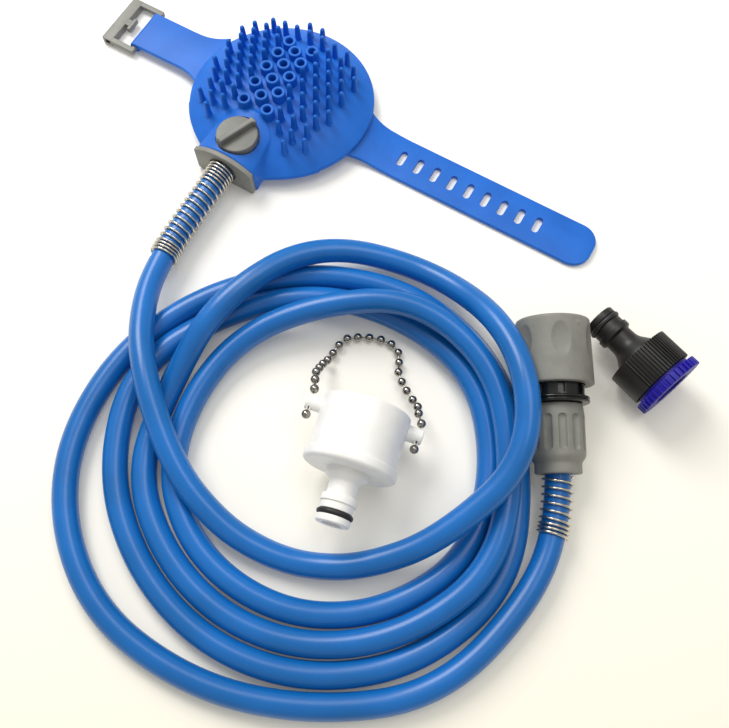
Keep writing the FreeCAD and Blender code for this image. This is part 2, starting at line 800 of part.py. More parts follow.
def hose_points():
    """Route of the hose's axis from the handset to inside the connector's nut."""
    behind = tail_origin() - connector_axis() * tail_lead
    inside = tail_origin() + connector_axis() * hose_inset()
    return [hose_exit()] + [Vector(*p) for p in head_run] + coil_points() + [behind, inside]


def hose_inset():
    return nut_thread_start - 0.6


def rounded_route(points):
    """Edges of straight runs joined by tangent arcs, with the arcs' radii and turns."""
    edges, bends = [], []
    last = points[0]
    for a, p, b in zip(points, points[1:], points[2:]):
        into, out = (p - a).normalize(), (b - p).normalize()
        turn = into.getAngle(out)
        reach = 0.45 * min((p - a).Length, (b - p).Length)
        radius = reach / math.tan(turn / 2)
        bends.append((radius, math.degrees(turn)))
        start, end = p - into * reach, p + out * reach
        inward = (out - into).normalize()
        middle = p + inward * (radius / math.cos(turn / 2) - radius)
        edges += [line_edge(last, start), arc_edge(start, middle, end)]
        last = end
    edges.append(line_edge(last, points[-1]))
    return edges, bends


def swept(edges, section, start, axis):
    """Tube of a many-sided section, square to its path's first direction."""
    side = axis.cross(Vector(0, 0, 1)).normalize()
    up = side.cross(axis).normalize()
    corners = [start + side * a + up * b for a, b in section]
    shell = Part.BRepOffsetAPI.MakePipeShell(Part.Wire(edges))
    shell.add(Part.makePolygon(corners + corners[:1]))
    shell.build()
    shell.makeSolid()
    return shell.shape()


def section_ring(sides, radius):
    turn = 2 * math.pi / sides
    return [(radius * math.cos((i + 0.5) * turn), radius * math.sin((i + 0.5) * turn)) for i in range(sides)]


def polygon_area(section):
    return abs(sum(a[0] * b[1] - b[0] * a[1] for a, b in zip(section, section[1:] + section[:1]))) / 2


def least_self_gap(points, size, skip):
    """Least distance between two places on a path that are more than skip apart along it."""
    least = 1e9
    cells = {}
    for i, p in enumerate(points):
        key = (int(p.x // 20), int(p.y // 20))
        for dx in (-1, 0, 1):
            for dy in (-1, 0, 1):
                for j in cells.get((key[0] + dx, key[1] + dy), []):
                    if i - j > skip:
                        least = min(least, p.distanceToPoint(points[j]))
        cells.setdefault(key, []).append(i)
    return least - size


def make_hose():
    edges, bends = rounded_route(hose_points())
    section = section_ring(hose_sides, hose_diameter / 2)
    first = (hose_points()[1] - hose_points()[0]).normalize()
    tube = swept(edges, section, hose_exit(), first)
    length = sum(e.Length for e in edges)
    expected = polygon_area(section) * length
    print("hose length %.0f mm, volume %.1f of %.1f cm3" % (length, tube.Volume / 1000, expected / 1000))
    print("hose radii", " ".join("%.0f" % r for r, turn in bends))
    sampled = [p for e in edges for p in e.discretize(max(2, int(e.Length / 3)))[:-1]]
    print("hose's least gap to itself %.2f mm" % least_self_gap(sampled, hose_diameter, 22))
    ends = [(hose_exit(), first), (hose_points()[-1], connector_axis() * -1)]
    for point, direction in ends:
        tube = tube.cut(Part.makeCylinder(hose_bore, hose_bore_depth + 1, point - direction, direction))
    return tube


def spring_inner():
    return hose_diameter / 2 + spring_hose_gap


def spring_outer():
    return spring_inner() + wire_side


def coil_places(stages):
    """Angle and distance of each quarter turn of a coil whose pitch changes from stage to stage."""
    places = [(0.0, 0.0)]
    for turns, pitch in stages:
        for _ in range(int(round(turns * quarter_steps))):
            angle, reach = places[-1]
            places.append((angle + 2 * math.pi / quarter_steps, reach + pitch / quarter_steps))
    return places


def coil_edges(mean_radius, stages, carrier):
    """Biarcs of a quarter turn round a carrier, which gives its axis's place and direction at a reach."""
    places = coil_places(stages)

    def point(angle, reach):
        centre, axis = carrier(reach)
        side = axis.cross(Vector(0, 0.1, 1)).normalize()
        up = side.cross(axis).normalize()
        return centre + side * (mean_radius * math.cos(angle)) + up * (mean_radius * math.sin(angle))

    def tangent(k):
        step = 0.02
        angle, reach = places[k]
        before, after = places[max(k - 1, 0)], places[min(k + 1, len(places) - 1)]
        rate = (after[1] - before[1]) / (after[0] - before[0])
        return (point(angle + step, reach + rate * step) - point(angle - step, reach - rate * step)).normalize()

    points = [point(*place) for place in places]
    edges = []
    for k in range(len(places) - 1):
        edges += biarc(points[k], tangent(k), points[k + 1], tangent(k + 1))
    return edges


def biarc(p0, t0, p1, t1):
    """Two arcs that leave p0 along t0, meet smoothly and reach p1 along t1."""
    v, t = p1 - p0, t0 + t1
    k = 2 * (1 - t0.dot(t1))
    vt = v.dot(t)
    reach = (math.sqrt(vt * vt + k * v.dot(v)) - vt) / k
    meet = (p0 + t0 * reach + p1 - t1 * reach) * 0.5
    arcs = []
    for a, corner, b in ((p0, p0 + t0 * reach, meet), (meet, p1 - t1 * reach, p1)):
        chord = (a + b) * 0.5
        half = (b - a).Length / 2
        rise = (corner - chord).Length
        sagitta = half * math.tan(math.atan2(rise, half) / 2)
        arcs.append(arc_edge(a, chord + (corner - chord).normalize() * sagitta, b))
    return arcs


def wire_coil(mean_radius, stages, side, carrier):
    """Coil of three-sided wire in one unbroken tube."""
    edges = coil_edges(mean_radius, stages, carrier)
    start = edges[0].valueAt(edges[0].FirstParameter)
    centre, axis = carrier(0.0)
    outward = (start - centre).normalize()
    corners = [start + outward * (0.577 * side * math.cos(a)) + axis * (0.577 * side * math.sin(a))
               for a in (0.0, 2 * math.pi / 3, 4 * math.pi / 3)]
    shell = Part.BRepOffsetAPI.MakePipeShell(Part.Wire(edges))
    shell.add(Part.makePolygon(corners + corners[:1]))
    shell.build()
    shell.makeSolid()
    sampled = [p for e in edges for p in e.discretize(8)[:-1]]
    per_turn = 8 * 2 * quarter_steps
    print("coil's least gap to itself %.2f mm" % least_self_gap(sampled, side, per_turn // 2))
    return shell.shape()


def along_hose(start, direction):
    """Carrier that follows the hose's axis from a distance along it, forwards or backwards."""
    edges, bends = rounded_route(hose_points())
    if direction < 0:
        edges.reverse()

    def carrier(reach):
        left = start + reach
        for edge in edges:
            if left <= edge.Length or edge is edges[-1]:
                break
            left -= edge.Length
        run = left if direction > 0 else edge.Length - left
        where = edge.getParameterByLength(min(max(run, 0.0), edge.Length))
        return edge.valueAt(where), edge.tangentAt(where) * direction

    return carrier


def make_head_spring():
    start = wire_side / 2 + 0.1 - spring_seat_depth + 0.1
    return wire_coil(spring_inner() + wire_side / 2, head_spring, wire_side, along_hose(max(start, 0.0), 1))


def make_tail_spring():
    return wire_coil(spring_inner() + wire_side / 2, tail_spring, wire_side,
                     along_hose(hose_inset() + wire_side / 2 + 0.25, -1))


# Quick connector, built about Z from the nut's tail

def ring_start():
    return nut_length + 0.3


def collar_start():
    return ring_start() + ring_thickness


def sleeve_start():
    return collar_start() + sleeve_stroke + 0.4


def on_connector(shape):
    return along(shape, tail_origin(), connector_bearing, connector_pitch())


def make_connector_nut():
    nut = revolved([
        (nut_bore, 0), (nut_tail_radius - 0.5, 0), (nut_tail_radius, 0.5), (nut_tail_radius, nut_cone_start),
        (nut_radius, nut_cone_end), (nut_radius, flute_end), (nut_crown_radius, nut_length),
        (nut_thread_bore, nut_length), (nut_thread_bore, nut_thread_start), (nut_bore, nut_thread_start),
    ])
    for i in range(flute_count):
        angle = 2 * math.pi * i / flute_count
        x, y = (nut_radius + 0.9) * math.cos(angle), (nut_radius + 0.9) * math.sin(angle)
        corners = regular(8, flute_radius, x, y, flute_start)
        flute = prism(corners, flute_end - flute_start)
        nut = nut.cut(flute)
    return on_connector(nut.removeSplitter())


def make_hose_collet():
    """Split ring that the nut squeezes on the hose over the barb."""
    collet = ring(nut_thread_bore - 0.3, hose_diameter / 2 + 0.2, nut_thread_start + 0.3, nut_thread_start + 6.0)
    lower = collet.cut(box(-0.8, 0.8, 0, 20, 0, 60))
    return on_connector(lower)


def body_rear():
    return nut_thread_start + 6.6


def make_connector_body():
    """Barb for the hose, threaded spigot, collar with slots and the nipple's socket."""
    mouth = sleeve_start() + sleeve_length - 1.4
    floor = mouth - socket_depth
    spigot = nut_thread_bore - thread_gap
    profile = [(barb_bore, 2.5), (barb_root, 2.5)]
    profile += [(barb_radius, 3.6), (barb_root, 7.2), (barb_radius, 8.4), (barb_root, 12.0), (barb_root, body_rear())]
    profile += [
        (spigot, body_rear()), (spigot, ring_start() - 0.1), (ring_bore - 0.1, ring_start() - 0.1),
        (ring_bore - 0.1, collar_start()), (body_collar_radius, collar_start()),
        (body_collar_radius, collar_start() + body_collar_length),
        (body_socket_outer, collar_start() + body_collar_length), (body_socket_outer, mouth),
        (socket_bore, mouth), (socket_bore, claw_start() + claw_length + claw_gap),
        (socket_bore + claw_groove, claw_start() + claw_length + claw_gap),
        (socket_bore + claw_groove, claw_start() - claw_gap), (socket_bore, claw_start() - claw_gap),
        (socket_bore, floor), (socket_seal_radius, floor),
        (socket_seal_radius, floor - socket_seal_thickness - 0.1),
        (barb_bore, floor - socket_seal_thickness - 0.1),
    ]
    body = revolved(profile)
    for i in range(body_slot_count):
        angle = 360.0 * i / body_slot_count
        slot = box(body_socket_outer + 0.6, 20, -body_slot_width / 2, body_slot_width / 2,
                   collar_start() + 0.8, collar_start() + body_collar_length + 1)
        slot.rotate(Vector(), Vector(0, 0, 1), angle)
        body = body.cut(slot)
    for i in range(claw_count):
        window = box(0, 20, -claw_width / 2 - 0.15, claw_width / 2 + 0.15, claw_start() - claw_gap,
                     claw_start() + claw_length + claw_gap)
        window = window.cut(disc(socket_bore - 0.5, 0, 4 * sleeve_length))
        window.rotate(Vector(), Vector(0, 0, 1), claw_angle(i))
        body = body.cut(window)
    return on_connector(body)


def claw_angle(i):
    return 90.0 + 360.0 * i / claw_count


def claw_start():
    return sleeve_start() + sleeve_length - 12.5


def make_claw(i):
    """Claw that stands through the socket's wall and grips a nipple's waist."""
    reach_in, reach_out = socket_bore - claw_stroke, sleeve_cam_radius() - 0.1
    claw = box(reach_in - 1, reach_out + 2, -claw_width / 2, claw_width / 2, claw_start(),
               claw_start() + claw_length)
    claw = claw.common(ring(reach_out, reach_in, 0, 4 * sleeve_length))
    claw.rotate(Vector(), Vector(0, 0, 1), claw_angle(i))
    return on_connector(claw)


def sleeve_cam_radius():
    return body_socket_outer + 0.5


def make_connector_sleeve():
    """Outer sleeve with grip dimples; its inner cone lets the claws out as it is drawn back."""
    low, high = sleeve_start(), sleeve_start() + sleeve_length
    inner = body_collar_radius + 0.35
    land_low = claw_start() - 1.6
    open_radius = sleeve_cam_radius() + claw_stroke + 0.5
    cone_high = claw_start() + (open_radius - sleeve_cam_radius()) * sleeve_stroke / claw_stroke
    sleeve = revolved([
        (inner, low), (sleeve_radius - 0.6, low), (sleeve_radius, low + 0.8),
        (sleeve_mouth_radius, high - 1.2),
        (sleeve_mouth_radius - 1.2, high), (sleeve_mouth, high), (sleeve_mouth, high - 0.9),
        (open_radius, high - 0.9), (open_radius, cone_high), (sleeve_cam_radius(), claw_start()),
        (sleeve_cam_radius(), land_low - 2.0), (inner, land_low - 2.0),
    ])
    bulge = [(0.0, -1.0), (0.58, -0.7), (0.9, -0.35), (1.0, 0.0), (0.9, 0.35), (0.58, 0.7), (0.0, 1.0)]
    scoop = faceted([(dimple_radius * r, dimple_half_length * z) for r, z in bulge], 16)
    surface = sleeve_radius + (sleeve_mouth_radius - sleeve_radius) * dimple_from_rim / sleeve_length
    reach = surface - dimple_depth + dimple_radius
    for i in range(dimple_count):
        angle = math.radians(90 + 360.0 * i / dimple_count)
        dimple = scoop.copy()
        dimple.translate(Vector(reach * math.cos(angle), reach * math.sin(angle), low + dimple_from_rim))
        sleeve = sleeve.cut(dimple)
    return on_connector(sleeve)


def make_flange_ring():
    profile = [(ring_bore, ring_start()), (ring_radius - 0.7, ring_start()), (ring_radius, ring_start() + 0.7),
               (ring_radius, collar_start() - 0.9), (ring_radius - 0.7, collar_start() - 0.2),
               (ring_bore, collar_start() - 0.2)]
    return on_connector(revolved(profile))


def make_return_spring():
    """Short coil between the body's collar and the sleeve's inner step."""
    low = collar_start() + body_collar_length + return_wire
    high = claw_start() - 1.6 - 2.0 - return_wire
    axis = connector_axis()
    stages = [(return_turns, (high - low) / return_turns)]
    return wire_coil(body_socket_outer + 0.3 + return_wire / 2, stages, return_wire,
                     lambda reach: (tail_origin() + axis * (low + reach), axis))


def make_socket_seal():
    floor = sleeve_start() + sleeve_length - 1.4 - socket_depth
    return on_connector(ring(socket_seal_radius - 0.05, barb_bore + 2.3, floor - socket_seal_thickness - 0.05,
                             floor - 0.05))


# Adapters

def nipple_profile():
    """Corners of the click-on nipple from its tip at height 0 up to its root, outside only."""
    groove = nipple_tip_length + nipple_groove
    collar = groove + nipple_shoulder_length
    waist = collar + nipple_collar_length
    return [
        (nipple_tip - 0.8, 0), (nipple_tip, 0.8), (nipple_tip, nipple_tip_length),
        (nipple_groove_radius, nipple_tip_length), (nipple_groove_radius, groove), (nipple_shoulder, groove),
        (nipple_shoulder, collar), (nipple_collar, collar), (nipple_collar, waist),
        (nipple_waist, waist + 1.0), (nipple_waist, nipple_length),
    ]


def nipple_seal():
    """Seal ring of six-sided section in the nipple's groove."""
    middle = nipple_tip_length + nipple_groove / 2
    inner = nipple_groove_radius + 0.05
    half = nipple_groove / 2 - 0.15
    mean = (inner + ring_seal_outer) / 2
    return revolved([(inner, middle - half / 2), (mean, middle - half), (ring_seal_outer, middle - half / 2),
                     (ring_seal_outer, middle + half / 2), (mean, middle + half), (inner, middle + half / 2)])


def tap_collar_outline(low):
    """Outline of the ribbed collar: two ribbed sectors between two plain ones."""
    points = []
    ribs = tap_rib_count
    for middle in (90.0, 270.0):
        first = middle - tap_rib_sector / 2
        for i in range(ribs):
            for part, radius in ((0.0, tap_collar_radius - tap_rib_depth), (0.1, tap_collar_radius - 0.15),
                                 (0.6, tap_collar_radius - 0.15), (0.7, tap_collar_radius - tap_rib_depth)):
                angle = math.radians(first + (i + part) * tap_rib_sector / ribs)
                points.append(Vector(radius * math.cos(angle), radius * math.sin(angle), low))
        plain = 180.0 - tap_rib_sector
        for i in range(6):
            angle = math.radians(first + tap_rib_sector + plain * i / 5)
            points.append(Vector(tap_collar_radius * math.cos(angle), tap_collar_radius * math.sin(angle), low))
    return points


def tap_length():
    return nipple_length + tap_cone_length + tap_collar_length


def tap_pitch():
    """Tilt of the tap adapter, nipple down, on the edges of its reducer's rim and its collar."""
    return math.degrees(math.atan((reducer_radius - tap_collar_radius) / (reducer_gap + tap_collar_length)))


def on_tap(shape):
    """Places a shape built with the reducer's face at height 0 and the nipple's tip at the far end."""
    pitch = math.radians(tap_pitch())
    height = reducer_radius * math.cos(pitch) + reducer_rim * math.sin(pitch) + 0.1
    origin = Vector(tap_position[0], tap_position[1], height)
    return along(shape, origin, tap_bearing, -tap_pitch())


def tap_flip(z):
    """Height above the reducer's face of a place given from the nipple's tip."""
    return tap_length() + reducer_gap + reducer_rim - z


def make_tap_body():
    collar_low = nipple_length + tap_cone_length
    outside = [(r, tap_flip(z)) for r, z in nipple_profile()]
    outside += [(nipple_collar + 2.6, tap_flip(collar_low)), (nipple_collar + 2.6, tap_flip(collar_low + 1.0))]
    stem = revolved([(nipple_bore, tap_flip(0))] + outside + [(nipple_bore, tap_flip(collar_low + 1.0))])
    low = tap_flip(tap_length())
    collar = prism(tap_collar_outline(low), tap_collar_length)
    thread = disc(tap_thread_bore, low - 1, low + tap_collar_length - 3.0)
    through = disc(nipple_bore, low, low + 60)
    return on_tap(collar.fuse(stem).cut(thread).cut(through).removeSplitter())


def make_tap_seal():
    seal = nipple_seal()
    seal = seal.mirror(Vector(), Vector(0, 0, 1))
    seal.translate(Vector(0, 0, tap_flip(0)))
    return on_tap(seal)


def make_reducer_ring():
    """Blue ring with a toothed rim and a spigot that screws up into the collar."""
    points = []
    for i in range(reducer_teeth):
        for part, radius in ((0.0, reducer_radius - reducer_tooth_depth), (0.15, reducer_radius),
                             (0.6, reducer_radius), (0.75, reducer_radius - reducer_tooth_depth)):
            angle = 2 * math.pi * (i + part) / reducer_teeth
            points.append(Vector(radius * math.cos(angle), radius * math.sin(angle), 0))
    rim = prism(points, reducer_rim)
    neck = disc(tap_thread_bore + 1.2, reducer_rim - 0.5, reducer_rim + reducer_gap - 0.3)
    spigot = disc(tap_thread_bore - thread_gap, reducer_rim - 0.5, reducer_rim + reducer_gap + reducer_spigot)
    bore = disc(reducer_bore, -1, 60)
    return on_tap(rim.fuse(neck).fuse(spigot).cut(bore).removeSplitter())


def make_tap_washer():
    low = reducer_rim + reducer_gap + reducer_spigot + 0.2
    return on_tap(ring(tap_thread_bore - 0.3, nipple_bore + 1.0, low, low + washer_thickness))


def faucet_origin():
    """Middle of the body's mouth."""
    b = math.radians(faucet_bearing)
    middle = Vector(faucet_position[0], faucet_position[1], faucet_flange_radius + 0.2)
    return middle - Vector(math.cos(b), math.sin(b), 0) * (faucet_body_length / 2)


def on_faucet(shape):
    """Places a shape built with the mouth at height 0 and the nipple's tip at the far end."""
    rolled = shape.copy()
    rolled.rotate(Vector(), Vector(0, 0, 1), -faucet_roll)
    return along(rolled, faucet_origin(), faucet_bearing)


def ear_middle():
    return ear_from_mouth + ear_radius


def ear(side):
    """Round lug on the body's side, slit from below for the chain's wire."""
    root = faucet_body_end_radius - 3.0
    lug = Part.makeCylinder(ear_radius, ear_outer - root, Vector(root, 0, ear_middle()), Vector(1, 0, 0))
    slit = box(ear_line - ear_slit / 2, ear_line + ear_slit / 2, ear_roof - ear_radius, 2 * ear_radius,
               ear_middle() - 2 * ear_radius, ear_middle() + 2 * ear_radius)
    lug = lug.cut(slit)
    if side < 0:
        lug = lug.mirror(Vector(), Vector(1, 0, 0))
    return lug


def make_faucet_body():
    """White shell, a little wider at its mouth, with an ear on each side."""
    outer = revolved([(0, 0), (faucet_mouth_radius - 1.2, 0), (faucet_mouth_radius, 1.2),
                      (faucet_body_end_radius, faucet_body_length - 0.1), (0, faucet_body_length - 0.1)])
    inner = revolved([(0, -1), (faucet_mouth_radius - faucet_wall, -1),
                      (faucet_body_end_radius - faucet_wall, faucet_body_length + 1), (0, faucet_body_length + 1)])
    body = outer.fuse(ear(1)).fuse(ear(-1)).cut(inner)
    return on_faucet(body.removeSplitter())


def faucet_total():
    return faucet_body_length + faucet_flange + faucet_neck_length + nipple_length


def make_faucet_nipple():
    """Flange that closes the body, a conical neck and the click-on nipple."""
    low = faucet_body_length
    outside = [(r, faucet_total() - z) for r, z in reversed(nipple_profile())]
    profile = [(nipple_bore, low), (faucet_flange_radius - 0.8, low),
               (faucet_flange_radius, low + 0.8), (faucet_flange_radius, low + faucet_flange - 1.4),
               (faucet_flange_radius - 1.6, low + faucet_flange),
               (faucet_neck_radius, low + faucet_flange),
               (faucet_neck_radius, low + faucet_flange + faucet_neck_step)]
    profile += outside
    profile.append((nipple_bore, faucet_total()))
    return on_faucet(revolved(profile))


def make_faucet_seal():
    seal = nipple_seal().mirror(Vector(), Vector(0, 0, 1))
    seal.translate(Vector(0, 0, faucet_total()))
    return on_faucet(seal)


def make_faucet_grommet():
    """Rubber sleeve that is pushed over the tap's spout."""
    start = 1.0
    mouth = faucet_mouth_radius - faucet_wall - 0.3
    end = faucet_mouth_radius - faucet_wall - 1.9
    return on_faucet(revolved([
        (grommet_bore + 2.5, start), (mouth, start), (end, start + grommet_length),
        (grommet_bore, start + grommet_length), (grommet_bore, start + 3.0),
    ]))


def ear_place(side, from_middle):
    """Place on the line of an ear's wire, so far behind the ear's middle, seen from the mouth."""
    b, roll = math.radians(faucet_bearing), math.radians(faucet_roll)
    axis = Vector(math.cos(b), math.sin(b), 0)
    across = Vector(math.sin(b) * math.cos(roll), -math.cos(b) * math.cos(roll), math.sin(roll))
    return faucet_origin() + axis * (ear_middle() + from_middle) + across * (side * ear_line)


def chain_points():
    """Bead centres from the end bead behind one ear, round the drape, to the one behind the other."""
    gap = bead_from_ear
    return ([ear_place(1, gap), ear_place(1, -gap)] + [Vector(*p) for p in chain_drape]
            + [ear_place(-1, -gap), ear_place(-1, gap)])


def make_ball_chain():
    """Beads on a thin wire, draped from one ear round to the other."""
    beads, links = [], []
    points = chain_points()
    for p in points:
        beads.append(loft_through([regular(bead_sides, bead_radius * share, p.x, p.y, p.z + bead_radius * rise)
                                   for share, rise in ((0.5, -0.93), (1.0, -0.35), (1.0, 0.35), (0.5, 0.93))]))
    for a, b in zip(points, points[1:]):
        link = prism(regular(4, chain_wire), (b - a).Length)
        link.Placement = FreeCAD.Placement(a, FreeCAD.Rotation(Vector(0, 0, 1), b - a))
        links.append(link)
    chain = beads[0].multiFuse(beads[1:] + links)
    return max(chain.Solids, key=lambda s: s.Volume)


pieces = {
    "silicone_cover": make_cover,
    "long_strap": make_long_strap,
    "short_strap": make_short_strap,
    "buckle": make_buckle,
    "chamber_base": make_chamber_base,
    "chamber_top": make_chamber_top,
    "chamber_gasket": make_chamber_gasket,
    "chamber_screws": make_chamber_screws,
    "valve_body": make_valve_body,
    "valve_spool": make_valve_spool,
    "spool_seal": make_spool_seal,
    "flow_knob": make_flow_knob,
    "inlet_plate": make_inlet_plate,
    "inlet_barb": make_inlet_barb,
    "hose": make_hose,
    "head_spring": make_head_spring,
    "tail_spring": make_tail_spring,
    "connector_nut": make_connector_nut,
    "hose_collet": make_hose_collet,
    "connector_body": make_connector_body,
    "flange_ring": make_flange_ring,
    "connector_sleeve": make_connector_sleeve,
    "return_spring": make_return_spring,
    "socket_seal": make_socket_seal,
    "claw_1": lambda: make_claw(0),
    "claw_2": lambda: make_claw(1),
    "claw_3": lambda: make_claw(2),
    "tap_body": make_tap_body,
    "tap_seal": make_tap_seal,
    "reducer_ring": make_reducer_ring,
    "tap_washer": make_tap_washer,
    "faucet_body": make_faucet_body,
    "faucet_nipple": make_faucet_nipple,
    "faucet_seal": make_faucet_seal,
    "faucet_grommet": make_faucet_grommet,
    "ball_chain": make_ball_chain,
}

os.makedirs("parts", exist_ok=True)
for name, make in pieces.items():
    shape = make()
    shape.exportStep("parts/%s.step" % name)
    print("%-18s solids %d  volume %9.1f mm3  valid %s" % (name, len(shape.Solids), shape.Volume, shape.isValid()))
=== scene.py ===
import bmesh
import bpy
import math
import numpy as np
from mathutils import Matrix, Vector


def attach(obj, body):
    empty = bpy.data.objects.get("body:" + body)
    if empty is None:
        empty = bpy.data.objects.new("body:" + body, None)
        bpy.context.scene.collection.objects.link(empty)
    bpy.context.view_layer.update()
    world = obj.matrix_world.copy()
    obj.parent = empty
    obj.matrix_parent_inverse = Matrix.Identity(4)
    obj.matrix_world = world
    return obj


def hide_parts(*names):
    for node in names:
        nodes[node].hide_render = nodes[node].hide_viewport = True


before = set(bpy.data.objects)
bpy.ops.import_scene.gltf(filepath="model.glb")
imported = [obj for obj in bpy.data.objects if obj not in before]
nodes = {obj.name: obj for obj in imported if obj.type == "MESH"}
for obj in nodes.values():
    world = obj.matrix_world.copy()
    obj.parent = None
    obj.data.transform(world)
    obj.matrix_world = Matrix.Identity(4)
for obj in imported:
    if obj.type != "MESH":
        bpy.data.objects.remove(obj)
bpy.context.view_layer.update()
mm = 0.001

# colour and materials


def linear(hexColour):
    # sRGB hex to linear: ((c + 0.055) / 1.055) ^ 2.4 above 0.04045, c / 12.92 below
    c = np.array([int(hexColour[i:i + 2], 16) for i in (0, 2, 4)]) / 255
    lin = np.where(c > 0.04045, ((c + 0.055) / 1.055) ** 2.4, c / 12.92)
    return tuple(lin) + (1.0,)


def addNode(tree, kind, inputs=None, links=None, **settings):
    # one shader node with its settings, its input values and the sockets that feed it
    node = tree.nodes.new(kind)
    for key, value in settings.items():
        setattr(node, key, value)
    for key, value in (inputs or {}).items():
        node.inputs[key].default_value = value
    for key, socket in (links or {}).items():
        tree.links.new(socket, node.inputs[key])
    return node


def newMaterial(name, colour, roughness, metallic=0.0, **sockets):
    # a material with its base colour, and any other inputs by name
    material = bpy.data.materials.new(name)
    material.use_nodes = True
    tree = material.node_tree
    shader = tree.nodes["Principled BSDF"]
    shader.inputs["Base Color"].default_value = linear(colour)
    shader.inputs["Roughness"].default_value = roughness
    shader.inputs["Metallic"].default_value = metallic
    for key, value in sockets.items():
        shader.inputs[key].default_value = value
    return material, tree, shader


def mottle(tree, shader, dark, light, sizeMm):
    # noise between two near colours, its grain given in millimetres
    coords = addNode(tree, "ShaderNodeTexCoord").outputs["Object"]
    noise = addNode(tree, "ShaderNodeTexNoise", {"Scale": 1 / (sizeMm * mm), "Detail": 4.0},
                    {"Vector": coords})
    ramp = addNode(tree, "ShaderNodeValToRGB", links={"Fac": noise.outputs["Fac"]})
    ramp.color_ramp.elements[0].position = 0.35
    ramp.color_ramp.elements[0].color = linear(dark)
    ramp.color_ramp.elements[1].position = 0.65
    ramp.color_ramp.elements[1].color = linear(light)
    tree.links.new(ramp.outputs["Color"], shader.inputs["Base Color"])
    return coords


def grain(tree, shader, coords, sizeMm, heightMm, strength):
    # fine bump of a moulded surface
    noise = addNode(tree, "ShaderNodeTexNoise", {"Scale": 1 / (sizeMm * mm), "Detail": 3.0},
                    {"Vector": coords})
    bump = addNode(tree, "ShaderNodeBump", {"Strength": strength, "Distance": heightMm * mm},
                   {"Height": noise.outputs["Fac"]})
    tree.links.new(bump.outputs["Normal"], shader.inputs["Normal"])


def mouldedSilicone():
    # blue silicone rubber, moulded: soft sheen, a little light passes into the pins, faint dusty patches
    material, tree, shader = newMaterial("mouldedSilicone", "1868CA", 0.46, **{
        "IOR": 1.41, "Specular IOR Level": 0.4, "Subsurface Weight": 0.06, "Subsurface Scale": 0.0015,
        "Subsurface Radius": (0.1, 0.35, 1.0)})
    coords = mottle(tree, shader, "1463C2", "1C6DD0", 22.0)
    grain(tree, shader, coords, 0.9, 0.02, 0.5)
    return material


def hosePvc():
    # blue PVC hose, extruded: glossy skin over a slightly cloudy wall
    material, tree, shader = newMaterial("hosePvc", "1069B6", 0.3, **{
        "IOR": 1.5, "Specular IOR Level": 0.4, "Subsurface Weight": 0.05, "Subsurface Scale": 0.002,
        "Subsurface Radius": (0.1, 0.4, 1.0), "Coat Weight": 0.12, "Coat Roughness": 0.2})
    coords = mottle(tree, shader, "0D64AD", "136EBF", 35.0)
    grain(tree, shader, coords, 4.0, 0.03, 0.35)
    return material


def matteAbs(name, dark, light, roughness=0.48):
    # ABS moulded in a finely spark-eroded mould: even colour, satin, fine grain
    material, tree, shader = newMaterial(name, light, roughness, **{"IOR": 1.53, "Specular IOR Level": 0.42})
    coords = mottle(tree, shader, dark, light, 9.0)
    grain(tree, shader, coords, 0.45, 0.012, 0.6)
    return material


def polishedSteel(name, colour, roughness):
    # nickel-plated steel wire, drawn and polished: clear reflections with faint streaks of uneven gloss
    material, tree, shader = newMaterial(name, colour, roughness, 1.0)
    coords = addNode(tree, "ShaderNodeTexCoord").outputs["Object"]
    noise = addNode(tree, "ShaderNodeTexNoise", {"Scale": 1 / (2.5 * mm), "Detail": 2.0}, {"Vector": coords})
    spread = addNode(tree, "ShaderNodeMapRange", {"To Min": roughness * 0.7, "To Max": roughness * 1.4},
                     {"Value": noise.outputs["Fac"]})
    tree.links.new(spread.outputs["Result"], shader.inputs["Roughness"])
    return material


def mouldedRubber():
    # black nitrile rubber, moulded: dull with a soft highlight
    material, tree, shader = newMaterial("mouldedRubber", "1A1A1A", 0.5, **{"IOR": 1.52})
    coords = mottle(tree, shader, "161616", "202020", 6.0)
    grain(tree, shader, coords, 0.5, 0.02, 0.5)
    return material


finishes = {
    "silicone": mouldedSilicone(),
    "hose": hosePvc(),
    "greyAbs": matteAbs("greyAbs", "7F7E77", "8A8981"),
    "knobAbs": matteAbs("knobAbs", "6E6E68", "797872", 0.42),
    "blackPp": matteAbs("blackPolypropylene", "1A1918", "242220", 0.42),
    "darkPom": matteAbs("darkAcetal", "161616", "1F1F1F", 0.25),
    "violetPp": matteAbs("violetPolypropylene", "12048A", "1A0A9E", 0.5),
    "whiteAbs": matteAbs("whiteAbs", "F6F4EE", "FBFAF6", 0.32),
    "naturalPom": matteAbs("naturalAcetal", "C9C7BD", "D6D4CA", 0.35),
    "springSteel": polishedSteel("nickelSpringWire", "CFC9BC", 0.2),
    "chainSteel": polishedSteel("nickelBallChain", "A09C94", 0.08),
    "rubber": mouldedRubber(),
}
print("materials", len(finishes))

# mesh helpers


def linkPiece(name, mesh, finish, body, angle=35):
    # puts a mesh in the scene with its finish, its body and edges kept sharp above an angle
    piece = bpy.data.objects.new(name, mesh)
    bpy.context.scene.collection.objects.link(piece)
    mesh.materials.append(finishes[finish])
    mesh.polygons.foreach_set("use_smooth", [True] * len(mesh.polygons))
    mesh.set_sharp_from_angle(angle=math.radians(angle))
    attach(piece, body)
    return piece


def gridFaces(rows, columns, offset=0):
    # quads between neighbours of a rows x columns grid whose columns close into a ring
    r, c = np.meshgrid(np.arange(rows - 1), np.arange(columns), indexing="ij")
    n = (c + 1) % columns
    return (np.stack([r * columns + c, r * columns + n, (r + 1) * columns + n, (r + 1) * columns + c], -1)
            .reshape(-1, 4) + offset)


